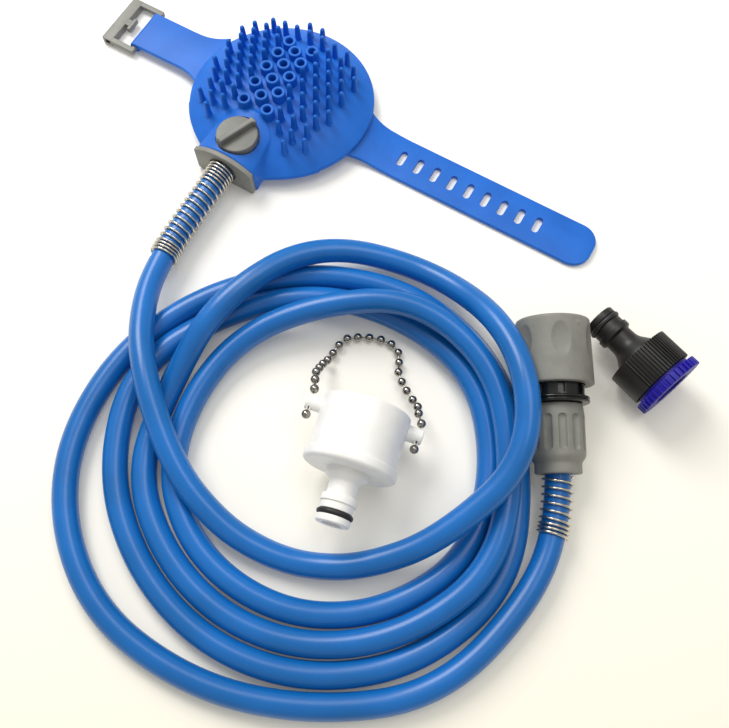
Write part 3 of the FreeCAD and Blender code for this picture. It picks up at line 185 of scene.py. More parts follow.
def ringMesh(name, grids, closed=False):
    # joins ring grids of shape (rings, points, 3) in millimetres into one mesh with closed ends
    points, faces, start = [], [], 0
    for grid in grids:
        rows, columns = grid.shape[:2]
        points.append(grid.reshape(-1, 3) * mm)
        faces += gridFaces(rows, columns, start).tolist()
        if closed:
            ring = np.arange(columns)
            last = (rows - 1) * columns
            ahead = (ring + 1) % columns
            faces += (np.stack([last + ring, last + ahead, ahead, ring], -1) + start).tolist()
        else:
            faces.append((np.arange(columns)[::-1] + start).tolist())
            faces.append((np.arange(columns) + (rows - 1) * columns + start).tolist())
        start += rows * columns
    mesh = bpy.data.meshes.new(name)
    mesh.from_pydata(np.concatenate(points), [], faces)
    work = bmesh.new()
    work.from_mesh(mesh)
    bmesh.ops.remove_doubles(work, verts=work.verts, dist=1e-6)
    bmesh.ops.recalc_face_normals(work, faces=work.faces)
    work.to_mesh(mesh)
    work.free()
    return mesh


def rounded(corners, steps=4):
    # profile corners (r, z, fillet) with each fillet turned into points of a quadratic bend
    out = []
    count = len(corners)
    for i, (r, z, fillet) in enumerate(corners):
        here = np.array([r, z], float)
        if fillet <= 0:
            out.append(here)
            continue
        back = np.array(corners[i - 1][:2], float) - here
        on = np.array(corners[(i + 1) % count][:2], float) - here
        reachBack = min(fillet, 0.45 * np.hypot(*back))
        reachOn = min(fillet, 0.45 * np.hypot(*on))
        a = here + back / np.hypot(*back) * reachBack
        b = here + on / np.hypot(*on) * reachOn
        for t in np.linspace(0, 1, steps + 1):
            out.append((1 - t) ** 2 * a + 2 * t * (1 - t) * here + t ** 2 * b)
    return np.array(out)


def dense(profile, step):
    # profile with extra points so that no run is longer than step
    out = [profile[0]]
    for a, b in zip(profile[:-1], profile[1:]):
        n = max(1, int(np.ceil(np.hypot(*(b - a)) / step)))
        out += [a + (b - a) * k / n for k in range(1, n + 1)]
    return np.array(out)


def turned(profile, sides=96, radiusAt=None):
    # surface of revolution: (r cos t, r sin t, z); radiusAt may change r with t and z
    t = np.linspace(0, 2 * np.pi, sides, endpoint=False)[None, :]
    r = np.repeat(profile[:, :1], sides, 1)
    z = np.repeat(profile[:, 1:2], sides, 1)
    if radiusAt is not None:
        r = radiusAt(r, t, z)
    return np.stack([r * np.cos(t), r * np.sin(t), z], -1)


def placed(grid, origin, bearing, pitch=0.0):
    # local X to the right of the axis, local Z along the axis at a bearing and pitch
    b, p = math.radians(bearing), math.radians(pitch)
    axis = np.array([math.cos(b) * math.cos(p), math.sin(b) * math.cos(p), math.sin(p)])
    side = np.array([math.sin(b), -math.cos(b), 0.0])
    return grid @ np.stack([side, np.cross(axis, side), axis]) + np.array(origin)


def edged(outline, low, high, bevel, steps=3):
    # upright wall of an outline whose top and bottom edges are rounded by moving it inward
    along = np.roll(outline, -1, 0) - np.roll(outline, 1, 0)
    normal = np.stack([along[:, 1], -along[:, 0]], -1) / np.hypot(along[:, 0], along[:, 1])[:, None]
    rings = []
    for side, z0 in ((-1, low), (1, high)):
        angles = np.linspace(0, np.pi / 2, steps + 1)
        if side > 0:
            angles = angles[::-1]
        for a in angles:
            inset = bevel * (1 - math.sin(a))
            z = z0 - side * bevel * (1 - math.cos(a))
            rings.append(np.column_stack([outline - normal * inset, np.full(len(outline), z)]))
    return np.array(rings)


def boxOutline(x0, x1, y0, y1, radius, steps=4):
    # rectangle with rounded corners, anticlockwise
    points = []
    for cx, cy, start in ((x1 - radius, y1 - radius, 0), (x0 + radius, y1 - radius, 90),
                          (x0 + radius, y0 + radius, 180), (x1 - radius, y0 + radius, 270)):
        a = np.radians(start + np.linspace(0, 90, steps + 1))
        points.append(np.stack([cx + radius * np.cos(a), cy + radius * np.sin(a)], -1))
    return np.concatenate(points)


def smoothMax(a, b, blend):
    # (a + b + sqrt((a - b)^2 + blend^2)) / 2
    return (a + b + np.sqrt((a - b) ** 2 + blend ** 2)) / 2


def applyModifiers(piece):
    # the piece keeps the mesh that its modifiers make
    view = bpy.context.evaluated_depsgraph_get()
    mesh = bpy.data.meshes.new_from_object(piece.evaluated_get(view))
    piece.modifiers.clear()
    piece.data = mesh


def cutBy(piece, cutterMesh):
    # takes the cutter's shape out of the piece, which stays closed
    cutter = bpy.data.objects.new("cutter", cutterMesh)
    bpy.context.scene.collection.objects.link(cutter)
    cut = piece.modifiers.new("cut", "BOOLEAN")
    cut.operation = "DIFFERENCE"
    cut.solver = "EXACT"
    cut.object = cutter
    applyModifiers(piece)
    bpy.data.objects.remove(cutter)
    piece.data.polygons.foreach_set("use_smooth", [True] * len(piece.data.polygons))
    piece.data.set_sharp_from_angle(angle=math.radians(32))


# camera, floor and light

view = {"eye": (190.4, -229.2, 399.0), "target": (117.8, -103.5, 0.0), "lens": 41.98}
cameraData = bpy.data.cameras.new("camera")
camera = bpy.data.objects.new("camera", cameraData)
bpy.context.scene.collection.objects.link(camera)
camera.location = Vector(view["eye"]) * mm
camera.rotation_euler = (Vector(view["target"]) - Vector(view["eye"])).to_track_quat("-Z", "Y").to_euler()
cameraData.lens = view["lens"]
cameraData.sensor_width = 36
cameraData.clip_start = 0.01
bpy.context.scene.camera = camera

floorMesh = bpy.data.meshes.new("floor")
floorHalf, floorLevel = 3, -0.0002
floorCorners = [(-1, -1), (1, -1), (1, 1), (-1, 1)]
floorMesh.from_pydata([(x * floorHalf, y * floorHalf, floorLevel) for x, y in floorCorners], [], [(0, 1, 2, 3)])
floor = bpy.data.objects.new("floor", floorMesh)
bpy.context.scene.collection.objects.link(floor)
# white card with painted light falloff: whiter on the far side under the strong light, warmer and darker towards
# the viewer, a mix of two whites along the floor's own X and Y
floorMaterial, floorTree, floorShader = newMaterial("whiteCard", "F5F4F0", 0.6)
floorPlace = addNode(floorTree, "ShaderNodeTexCoord").outputs["Object"]
floorRun = addNode(floorTree, "ShaderNodeVectorMath", {1: (0.5, -0.866, 0.0)}, {0: floorPlace},
                   operation="DOT_PRODUCT")
floorShare = addNode(floorTree, "ShaderNodeMapRange", {"From Min": -0.02, "From Max": 0.36},
                     {"Value": floorRun.outputs["Value"]})
# painted light falloff: the card's colour darkens and warms towards the viewer
floorPaintedFalloff = addNode(floorTree, "ShaderNodeValToRGB", links={"Fac": floorShare.outputs["Result"]})
floorPaintedFalloff.color_ramp.elements[0].color = linear("F6F5F1")
floorPaintedFalloff.color_ramp.elements[1].color = linear("F5EEDB")
floorTree.links.new(floorPaintedFalloff.outputs["Color"], floorShader.inputs["Base Color"])
# painted light: the card glows faintly so that shadows on it stay pale, and lights the pieces a little from
# below
floorShader.inputs["Emission Color"].default_value = linear("FFFDF6")
floorShader.inputs["Emission Strength"].default_value = 0.09
floorMesh.materials.append(floorMaterial)

world = bpy.data.worlds.new("world")
world.use_nodes = True
world.node_tree.nodes["Background"].inputs["Color"].default_value = linear("FBFAF6")
world.node_tree.nodes["Background"].inputs["Strength"].default_value = 0.5
bpy.context.scene.world = world


def areaLight(name, place, size, power):
    # rectangular soft light, aimed at the object
    target = (0.1, -0.1, 0)
    light = bpy.data.lights.new(name, "AREA")
    light.shape = "RECTANGLE"
    light.size, light.size_y = size
    light.energy = power
    lamp = bpy.data.objects.new(name, light)
    bpy.context.scene.collection.objects.link(lamp)
    lamp.location = place
    lamp.rotation_euler = (Vector(target) - Vector(place)).to_track_quat("-Z", "Y").to_euler()


areaLight("window", (-0.75, 0.35, 1.05), (0.6, 0.8), 14.0)
areaLight("ceiling", (0.25, 0.3, 1.3), (0.9, 0.5), 4.5)
bpy.context.scene.view_settings.view_transform = "Standard"
print("camera and light")

# hose: its route as part.py has it, in millimetres

connector = {"bearing": 120.0, "tail": (224.9, -109.3), "nutRadius": 13.0, "coneEnd": 7.9,
             "sleeveRadius": 18.3, "sleeveStart": 41.4}
connector["pitch"] = math.degrees(math.atan(
    (connector["sleeveRadius"] - connector["nutRadius"]) / (connector["sleeveStart"] - connector["coneEnd"])))
tilt = math.radians(connector["pitch"])
connector["origin"] = connector["tail"] + (
    connector["nutRadius"] * math.cos(tilt) - connector["coneEnd"] * math.sin(tilt) + 0.1,)
turn = math.radians(connector["bearing"])
connector["axis"] = np.array([math.cos(turn) * math.cos(tilt), math.sin(turn) * math.cos(tilt),
                              math.sin(tilt)])


def onConnector(grid):
    # from the connector's own axis to its place on the floor
    return placed(grid, connector["origin"], connector["bearing"], connector["pitch"])


hose = {
    "diameter": 12.0, "length": 2684.0, "exit": (0.0, -49.6, 11.0), "centre": (125.0, -164.0),
    "lead": [(0.2, -78.0, 10.8), (0.9, -105.0, 10.6), (9.0, -133.5, 15.7)],
    "tailLead": 18.0, "inset": 13.4,
    "loops": [  # radius and height at every 30 degrees of bearing from 180
        (94.0, 24.6), (63.9, 18.9), (49.5, 12.3), (43.5, 6.4), (44.1, 6.0), (51.1, 10.8),
        (67.2, 19.8), (98.5, 33.5), (110.4, 38.1), (121.5, 4.6), (117.2, 14.8), (93.1, 24.9),
        (82.4, 6.2), (83.0, 6.2), (77.6, 6.8), (77.0, 6.1), (79.6, 7.2), (85.0, 10.0),
        (93.8, 16.1), (92.5, 17.4), (98.7, 20.5), (95.9, 21.1), (80.8, 16.9), (76.7, 8.8),
        (70.0, 6.5), (68.0, 6.1), (64.7, 6.4), (63.4, 6.2), (66.4, 6.3), (72.3, 6.2),
        (82.0, 6.8), (85.1, 6.9), (90.9, 10.4), (90.4, 5.6), (91.6, 7.4), (93.7, 6.5),
        (102.4, 8.3), (96.4, 6.2), (90.6, 6.3), (90.2, 6.2), (92.6, 6.3), (97.8, 6.2),
        (103.0, 6.3), (97.9, 6.1), (103.7, 6.3), (104.8, 6.5), (104.4, 6.1), (107.6, 6.3),
        (115.0, 6.2), (120.8, 6.4), (117.8, 6.6), (107.8, 6.2), (104.9, 6.4), (113.6, 6.2), (114.3, 8.0)],
}
loops = np.array(hose["loops"])
bearings = np.radians(180 + 30 * np.arange(len(loops)))
coil = np.stack([hose["centre"][0] + loops[:, 0] * np.cos(bearings),
                 hose["centre"][1] + loops[:, 0] * np.sin(bearings), loops[:, 1]], -1)
tailEnd = np.array(connector["origin"])
route = np.concatenate([[hose["exit"]], hose["lead"], coil, [tailEnd - connector["axis"] * hose["tailLead"]],
                        [tailEnd + connector["axis"] * hose["inset"]]]) * mm


def nurbsCurve(name, points, bevel=0.0):
    # smooth line of the third order through its two ends, a tube where it has a bevel
    curve = bpy.data.curves.new(name, "CURVE")
    curve.dimensions = "3D"
    curve.resolution_u = 16
    spline = curve.splines.new("NURBS")
    spline.points.add(len(points) - 1)
    spline.points.foreach_set("co", np.column_stack([points, np.ones(len(points))]).ravel())
    spline.order_u = 3
    spline.use_endpoint_u = True
    curve.bevel_depth = bevel
    curve.bevel_resolution = 8
    curve.use_fill_caps = True
    return curve


hoseCurve = nurbsCurve("hosePipe", route, hose["diameter"] / 2 * mm)
hosePiece = bpy.data.objects.new("hosePipe", hoseCurve)
bpy.context.scene.collection.objects.link(hosePiece)
hoseCurve.materials.append(finishes["hose"])
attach(hosePiece, "handset")
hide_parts("hose")

# the smooth line that the spline makes, read back for the springs
lineCurve = bpy.data.objects.new("hoseLine", nurbsCurve("hoseLine", route))
bpy.context.scene.collection.objects.link(lineCurve)
bpy.context.view_layer.update()
lineMesh = bpy.data.meshes.new_from_object(lineCurve.evaluated_get(bpy.context.evaluated_depsgraph_get()))
line = np.zeros(len(lineMesh.vertices) * 3)
lineMesh.vertices.foreach_get("co", line)
line = line.reshape(-1, 3) / mm
bpy.data.objects.remove(lineCurve)
bpy.data.meshes.remove(lineMesh)
lineReach = np.concatenate([[0], np.cumsum(np.linalg.norm(np.diff(line, axis=0), axis=1))])
print("hose line", len(line), "points,", round(float(lineReach[-1]), 1), "mm")


def atReach(s):
    # place and direction of the hose's line at distances along it
    point = np.stack([np.interp(s, lineReach, line[:, k]) for k in range(3)], -1)
    ahead = np.stack([np.interp(s + 1.0, lineReach, line[:, k]) for k in range(3)], -1)
    behind = np.stack([np.interp(s - 1.0, lineReach, line[:, k]) for k in range(3)], -1)
    axis = ahead - behind
    return point, axis / np.linalg.norm(axis, axis=1)[:, None]


springs = {"wire": 0.62, "mean": 6.98, "sides": 8, "steps": 32,
           "head": [(5.0, 1.95), (11.0, 3.75), (4.0, 1.95)], "tail": [(6.0, 3.6), (3.0, 1.95)],
           "headStart": 0.725, "tailStart": 0.875}


def guardSpring(name, stages, start, direction, node):
    # helix: centre(s) + side * R cos a + up * R sin a, with the pitch changing from stage to stage
    turns = np.concatenate([[0], np.cumsum([t for t, p in stages])])
    reach = np.concatenate([[0], np.cumsum([t * p for t, p in stages])])
    a = np.linspace(0, turns[-1], int(turns[-1] * springs["steps"]) + 1)
    s = start + direction * np.interp(a, turns, reach)
    centre, axis = atReach(s)
    side = np.cross(axis, np.array([0, 0, 1.0]))
    side /= np.linalg.norm(side, axis=1)[:, None]
    up = np.cross(side, axis)
    angle = (2 * np.pi * a * direction)[:, None]
    middle = centre + springs["mean"] * (side * np.cos(angle) + up * np.sin(angle))
    outward = side * np.cos(angle) + up * np.sin(angle)
    run = np.gradient(middle, axis=0)
    run /= np.linalg.norm(run, axis=1)[:, None]
    across = np.cross(run, outward)
    around = np.linspace(0, 2 * np.pi, springs["sides"], endpoint=False)[None, :, None]
    hoop = outward[:, None] * np.cos(around) + across[:, None] * np.sin(around)
    grid = middle[:, None] + springs["wire"] * hoop
    piece = linkPiece(name, ringMesh(name, [grid]), "springSteel", "handset", 60)
    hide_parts(node)
    return piece


headSpring = guardSpring("headGuardSpring", springs["head"], springs["headStart"], 1, "head_spring")
tailSpring = guardSpring("tailGuardSpring", springs["tail"],
                         float(lineReach[-1]) - hose["inset"] - springs["tailStart"], -1, "tail_spring")
print("hose and springs")

# quick connector

sleeve = {"low": connector["sleeveStart"], "high": 72.9, "rim": connector["sleeveRadius"], "front": 17.4,
          "mouth": 12.2, "bore": 13.95, "dimples": 6, "dimpleAt": 60.9, "dimpleWidth": 4.6, "dimpleLength": 8.2,
          "depth": 1.45, "pipAngle": 299.0, "pipBack": 4.2, "pipHeight": 0.55, "outside": 16.9}


def sleeveRadius(r, t, z):
    # outer wall sinks by depth * (1 - q)^0.85 inside each oval, q = (arc / width)^2 + (z / length)^2,
    # and a pip of height * exp(-d^2 / 0.7) stands near the mouth
    pitchAngle = 2 * np.pi / sleeve["dimples"]
    pip = ((t - math.radians(sleeve["pipAngle"])) * 17.5) ** 2 + (z - sleeve["high"] + sleeve["pipBack"]) ** 2
    r = np.where(r > sleeve["outside"], r + sleeve["pipHeight"] * np.exp(-pip / 0.7), r)
    off = (t - np.pi / 2 + pitchAngle / 2) % pitchAngle - pitchAngle / 2
    q = (off * 17.8 / sleeve["dimpleWidth"]) ** 2 + ((z - sleeve["dimpleAt"]) / sleeve["dimpleLength"]) ** 2
    sink = sleeve["depth"] * np.clip(1 - q, 0, 1) ** 0.85
    return np.where(r > sleeve["outside"], r - sink, r)


# corners (r, z, fillet) from the bore's rear over the outer wall and down the cone behind the mouth
sleeveProfile = rounded([
    (sleeve["bore"], sleeve["low"], 0.3), (sleeve["rim"], sleeve["low"], 0.7),
    (sleeve["front"], sleeve["high"], 1.4), (sleeve["mouth"], sleeve["high"], 0.4), (sleeve["mouth"], 72.0, 0.2),
    (13.6, 72.0, 0), (13.6, 68.2, 0), (12.1, 60.4, 0), (12.1, 56.8, 0), (sleeve["bore"], 56.8, 0)])
sleeveWall = turned(dense(sleeveProfile, 0.6), 216, sleeveRadius)
sleeveMesh = ringMesh("connectorSleeve", [onConnector(sleeveWall)], closed=True)
sleevePiece = linkPiece("connectorSleeve", sleeveMesh, "greyAbs", "sleeve", 24)
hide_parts("connector_sleeve")

nut = {"flutes": 12, "low": 10.3, "high": 27.0, "halfWidth": 2.05, "depth": 1.35}


def nutRadius(r, t, z):
    # flutes: depth * sqrt(1 - d^2), d the distance to a line along the nut over the flute's half width
    pitchAngle = 2 * np.pi / nut["flutes"]
    arc = ((t + pitchAngle / 2) % pitchAngle - pitchAngle / 2) * connector["nutRadius"]
    end = np.clip(z, nut["low"] + nut["halfWidth"], nut["high"] - nut["halfWidth"])
    d2 = (arc ** 2 + (z - end) ** 2) / nut["halfWidth"] ** 2
    return np.where(r > 10.85, r - nut["depth"] * np.sqrt(np.clip(1 - d2, 0, 1)), r)


nutProfile = rounded([(6.35, 0, 0.2), (10.9, 0, 0.8), (10.9, 4.9, 0.8), (13.0, 8.0, 1.2), (13.0, 27.0, 1.5),
                      (12.4, 32.3, 0.5), (10.6, 32.3, 0), (10.6, 14.0, 0), (6.35, 14.0, 0)])
nutMesh = ringMesh("hoseNut", [onConnector(turned(dense(nutProfile, 0.5), 240, nutRadius))], closed=True)
nutPiece = linkPiece("hoseNut", nutMesh, "greyAbs", "hose_nut", 26)
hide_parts("connector_nut")

ringProfile = rounded([(9.0, 32.6, 0), (15.6, 32.6, 0.5), (16.0, 33.7, 0.4), (15.1, 34.0, 0.2),
                       (15.1, 34.4, 0.2), (16.0, 34.6, 0.4), (15.6, 35.6, 0.5), (9.0, 35.6, 0)])
ringWall = ringMesh("flangeRing", [onConnector(turned(ringProfile, 128))], closed=True)
ringPiece = linkPiece("flangeRing", ringWall, "darkPom", "handset", 40)
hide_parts("flange_ring")
print("connector")

# tap adapter

tap = {"origin": (252.8, -47.2), "bearing": 159.5, "length": 48.2, "collarLow": 6.2, "collarHigh": 22.2,
       "collarRadius": 16.4, "ribs": 17, "sector": 100.0, "rim": 17.4, "rimHeight": 4.4, "bore": 13.2,
       "roof": 19.2, "waterway": 4.6}
tap["pitch"] = math.degrees(math.atan(
    (tap["rim"] - tap["collarRadius"]) / (tap["collarHigh"] - tap["rimHeight"])))
lean = math.radians(tap["pitch"])
tap["place"] = tap["origin"] + (tap["rim"] * math.cos(lean) + tap["rimHeight"] * math.sin(lean) + 0.1,)


def onTap(grid):
    # from the adapter's own axis to where it rests on its rim and nipple
    return placed(grid, tap["place"], tap["bearing"], -tap["pitch"])


def nippleProfile(tip):
    # corners of the click-on nipple from its tip back to its waist, z measured towards the tip
    return [(8.0, tip, 0.9), (8.0, tip - 3.2, 0.25), (6.4, tip - 3.2, 0), (6.4, tip - 6.0, 0),
            (7.6, tip - 6.0, 0.25), (7.6, tip - 9.4, 0.15), (8.4, tip - 9.4, 0.4), (8.4, tip - 12.4, 0.4),
            (6.8, tip - 13.4, 0.5)]


def ribbedOutline():
    # radius by angle: two sectors of square ribs between two plain ones; a rib falls, rises and falls again
    ribShape = ((0.0, 0.9), (0.08, 0.2), (0.2, 0.0), (0.45, 0.0), (0.57, 0.2), (0.65, 0.9), (0.82, 0.95))
    points = []
    for middle in (90.0, 270.0):
        first = middle - tap["sector"] / 2
        for i in range(tap["ribs"]):
            for part, drop in ribShape:
                points.append((first + (i + part) * tap["sector"] / tap["ribs"], tap["collarRadius"] - drop))
        for i in range(14):
            points.append((first + tap["sector"] + (180 - tap["sector"]) * i / 13.2, tap["collarRadius"]))
    return np.array(points)


ribs = ribbedOutline()
ribAngle = np.radians(ribs[:, 0])
ribOutline = np.stack([ribs[:, 1] * np.cos(ribAngle), ribs[:, 1] * np.sin(ribAngle)], -1)


def ringAt(radius, z, angle=ribAngle):
    # one ring of points (r cos t, r sin t, z)
    return np.stack([radius * np.cos(angle), radius * np.sin(angle), np.full(len(angle), z)], -1)[None]


stem = rounded([(11.0, tap["collarHigh"], 0.8), (10.5, 23.4, 1.2), (7.0, 28.6, 2.2)]
               + nippleProfile(tap["length"])[::-1]
               + [(tap["waterway"], tap["length"], 0.4), (tap["waterway"], tap["roof"], 0)])
collarWall = edged(ribOutline, tap["collarLow"], tap["collarHigh"], 0.3)
tapRings = [ringAt(tap["bore"], tap["collarLow"]), collarWall]
tapRings += [ringAt(r, z) for r, z in stem] + [ringAt(tap["bore"], tap["roof"])]
tapMesh = ringMesh("tapAdapterBody", [onTap(np.concatenate(tapRings))], closed=True)
tapPiece = linkPiece("tapAdapterBody", tapMesh, "blackPp", "tap_adapter", 28)
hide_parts("tap_body")

# O-ring's section, an oval of 1.1 by 1.25 about the groove's middle
sealTurn = np.linspace(0, 2 * np.pi, 14, endpoint=False)
sealProfile = np.stack([7.45 + 1.1 * np.cos(sealTurn), 1.25 * np.sin(sealTurn)], -1)
sealBack = 4.6


def nippleSeal(name, place, centre, body, node):
    # O-ring turned about the nipple's axis
    grid = turned(sealProfile + np.array([0, centre]), 96)
    piece = linkPiece(name, ringMesh(name, [place(grid)], closed=True), "rubber", body, 60)
    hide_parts(node)


nippleSeal("tapNippleSeal", onTap, tap["length"] - sealBack, "tap_adapter", "tap_seal")

reducer = {"teeth": 38, "root": 16.5, "bore": 9.6, "shelf": 14.4, "shelfTop": 5.9, "spigot": 13.1, "top": 15.2}
toothAngle = np.radians(np.array([(i + part) * 360 / reducer["teeth"] for i in range(reducer["teeth"])
                                  for part in (0.0, 0.1, 0.5, 0.6, 0.8)]))
tooth = [reducer["root"], tap["rim"], tap["rim"], reducer["root"], reducer["root"]]
toothRadius = np.tile(tooth, reducer["teeth"])
toothOutline = np.stack([toothRadius * np.cos(toothAngle), toothRadius * np.sin(toothAngle)], -1)


reducerRings = [ringAt(reducer["bore"], 0.0, toothAngle), edged(toothOutline, 0.0, tap["rimHeight"], 0.25)]
reducerRings += [ringAt(reducer[r], z, toothAngle) for r, z in (
    ("shelf", tap["rimHeight"]), ("shelf", reducer["shelfTop"]), ("spigot", reducer["shelfTop"]),
    ("spigot", reducer["top"]), ("bore", reducer["top"]))]
reducerMesh = ringMesh("reducerRing", [onTap(np.concatenate(reducerRings))], closed=True)
reducerPiece = linkPiece("reducerRing", reducerMesh, "violetPp", "tap_reducer", 28)
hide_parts("reducer_ring")
print("tap adapter")

# faucet adapter and its chain

faucet = {"middle": (137.0, -141.4, 22.2), "bearing": -76.5, "roll": 8.0, "body": 26.0, "total": 55.9,
          "flange": 22.0, "waterway": 4.6, "ear": 5.3, "earRadius": 3.9, "earLine": 26.1, "earOuter": 28.2}
faucetTurn, faucetRoll = math.radians(faucet["bearing"]), math.radians(faucet["roll"])
faucetAxis = np.array([math.cos(faucetTurn), math.sin(faucetTurn), 0.0])
faucetAcross = np.array([math.sin(faucetTurn) * math.cos(faucetRoll),
                         -math.cos(faucetTurn) * math.cos(faucetRoll), math.sin(faucetRoll)])
faucetOrigin = np.array(faucet["middle"]) - faucetAxis * faucet["body"] / 2


def onFaucet(grid):
    # rolled about its own axis first: (x cos a + y sin a, y cos a - x sin a, z)
    x, y = grid[..., 0], grid[..., 1]
    rolled = np.stack([x * math.cos(faucetRoll) + y * math.sin(faucetRoll),
                       y * math.cos(faucetRoll) - x * math.sin(faucetRoll), grid[..., 2]], -1)
    return placed(rolled, faucetOrigin, faucet["bearing"])


def earGrid(side):
    # round lug about a line across the adapter: (side * h, r cos t, ear + r sin t)
    root = 18.9
    profile = rounded([(0.01, root, 0), (faucet["earRadius"], root, 0),
                       (faucet["earRadius"], faucet["earOuter"], 0.8), (0.01, faucet["earOuter"], 0)])
    lug = turned(profile, 48)
    return np.stack([side * lug[..., 2], lug[..., 0], faucet["ear"] + lug[..., 1]], -1)


def slitGrid(side):
    # the slit for the chain's wire, open towards the table
    ring = boxOutline(faucet["earLine"] - 0.8, faucet["earLine"] + 0.8, -2.6, 9.0, 0.3, 2)
    return np.stack([np.stack([side * ring[:, 0], ring[:, 1], np.full(len(ring), z)], -1)
                     for z in (-1.0, 12.0)])


bodyProfile = rounded([(19.0, 0, 0.4), (21.2, 0, 1.3), (20.6, 25.9, 0.4), (18.4, 25.9, 0)])
bodyMesh = ringMesh("faucetShell", [onFaucet(turned(dense(bodyProfile, 4.0), 144))], closed=True)
faucetPiece = linkPiece("faucetShell", bodyMesh, "whiteAbs", "faucet_adapter", 30)
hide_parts("faucet_body")
earMesh = ringMesh("faucetEars", [onFaucet(earGrid(side)) for side in (-1, 1)])
earPiece = linkPiece("faucetEars", earMesh, "whiteAbs", "faucet_adapter", 40)
cutBy(earPiece, ringMesh("slits", [onFaucet(slitGrid(side)) for side in (-1, 1)]))

tip = faucet["total"]
faucetNipple = rounded([(faucet["waterway"], faucet["body"], 0), (faucet["flange"], faucet["body"], 0.6),
                        (faucet["flange"], 29.9, 1.0), (20.5, 31.1, 0.6), (10.0, 31.1, 0.4),
                        (10.0, 33.8, 0.6), (6.8, 36.4, 0.8)]
                       + nippleProfile(tip)[::-1] + [(faucet["waterway"], tip, 0.5)])
nippleMesh = ringMesh("faucetNipple", [onFaucet(turned(faucetNipple, 128))], closed=True)
nipplePiece = linkPiece("faucetNipple", nippleMesh, "whiteAbs", "faucet_adapter", 30)
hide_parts("faucet_nipple")
nippleSeal("faucetNippleSeal", onFaucet, tip - sealBack, "faucet_adapter", "faucet_seal")

chain = {"bead": 2.2, "wire": 0.45, "inside": 1.4, "fromEar": 6.35,
         "drape": [(105.7, -128.8, 22.4), (103.5, -124.4, 19.1), (102.7, -120.6, 14.5), (102.1, -116.7, 10.0),
                   (102.1, -112.7, 5.6), (102.0, -107.4, 2.9), (102.4, -102.2, 3.2), (104.0, -96.9, 2.5),
                   (108.2, -93.5, 2.2), (113.3, -90.8, 2.2), (118.9, -88.9, 2.3), (124.6, -88.4, 2.2),
                   (129.8, -90.6, 2.2), (132.9, -95.4, 3.2), (135.3, -100.4, 4.7), (139.3, -104.3, 5.7),
                   (143.7, -107.5, 7.0), (148.6, -110.5, 8.4), (152.7, -113.3, 11.5), (155.0, -117.1, 15.4)]}


def earPlace(side, fromMiddle):
    # point on an ear's line, before or behind the ear's middle
    along = faucetAxis * (faucet["ear"] + fromMiddle)
    return faucetOrigin + along + faucetAcross * (side * faucet["earLine"])


gap = chain["fromEar"]
beads = np.vstack([earPlace(1, gap), earPlace(1, -gap), chain["drape"], earPlace(-1, -gap), earPlace(-1, gap)])
# each bead is a ball (R cos b, R sin b) turned about its own upright line
latitude = np.radians(np.linspace(-89.9, 89.9, 12))
ball = turned(np.stack([chain["bead"] * np.cos(latitude), chain["bead"] * np.sin(latitude)], -1), 20)
chainGrids = [ball + b for b in beads]
for a, b in zip(beads[:-1], beads[1:]):
    axis = (b - a) / np.linalg.norm(b - a)
    side = np.cross(axis, [0.3, 0.2, 1.0])
    side /= np.linalg.norm(side)
    up = np.cross(side, axis)
    t = np.linspace(0, 2 * np.pi, 8, endpoint=False)[:, None]
    hoop = chain["wire"] * (side * np.cos(t) + up * np.sin(t))
    chainGrids.append(np.stack([a + axis * chain["inside"] + hoop, b - axis * chain["inside"] + hoop]))
chainMesh = ringMesh("ballChain", chainGrids)
chainPiece = linkPiece("ballChain", chainMesh, "chainSteel", "tether", 60)
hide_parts("ball_chain")
print("faucet adapter and chain,", len(beads), "beads")

# silicone pad of the handset

pad = {"radius": 49.2, "y": 4.2, "crown": 23.0, "dome": 90.0, "wall": 2.2, "rimRound": 0.9,
       "neckEnd": -46.5, "neckRun": 50.7, "neckHalf": 17.0, "fillet": 7.0, "foot": 0.6, "seat": 39.55,
       "chamber": 37.35, "low": 1.0, "ceiling": 8.0, "knobY": -33.0, "pocket": 11.7, "front": 16.8,
       "wideBearing": 30.0, "wideShift": 2.6, "wideShare": 1.8}


def domeHeight(r):
    # crown - dome + sqrt(dome^2 - r^2)
    return pad["crown"] - pad["dome"] + np.sqrt(pad["dome"] ** 2 - r ** 2)


def rimRadius(a):
    # radius + shift * c + share * c^2, where c is the cosine of the angle from the wide side
    c = np.cos(a - math.radians(pad["wideBearing"]))
    return pad["radius"] + pad["wideShift"] * c + pad["wideShare"] * c ** 2


def coverHeight(x, y):
    # smooth maximum of the dome and the arched neck, low + arch * (1 - (x / half)^2), which falls off
    # beside its edges and in front of the knob
    reach = np.hypot(x, y - pad["y"]) * pad["radius"] / rimRadius(np.arctan2(y - pad["y"], x))
    dome = domeHeight(np.minimum(reach, 62.0))
    run = np.clip((y - pad["neckEnd"]) / 38.5, 0, 1)
    half = pad["neckHalf"] - 4.0 * run
    arch = 15.5 + 2.5 * run + (6.0 - 1.8 * run) * (1 - (x / half) ** 2)
    beside = np.maximum(np.abs(x) - half, 0)
    arch = np.where(beside > 0, 15.5 + 2.5 * run - 2.4 * beside, arch)
    fromKnob = np.hypot(x, y - pad["knobY"])
    arch = arch - np.where(y > pad["knobY"], 1.3 * np.maximum(fromKnob - pad["front"], 0), 0)
    return smoothMax(dome, arch, 1.6) - 0.15


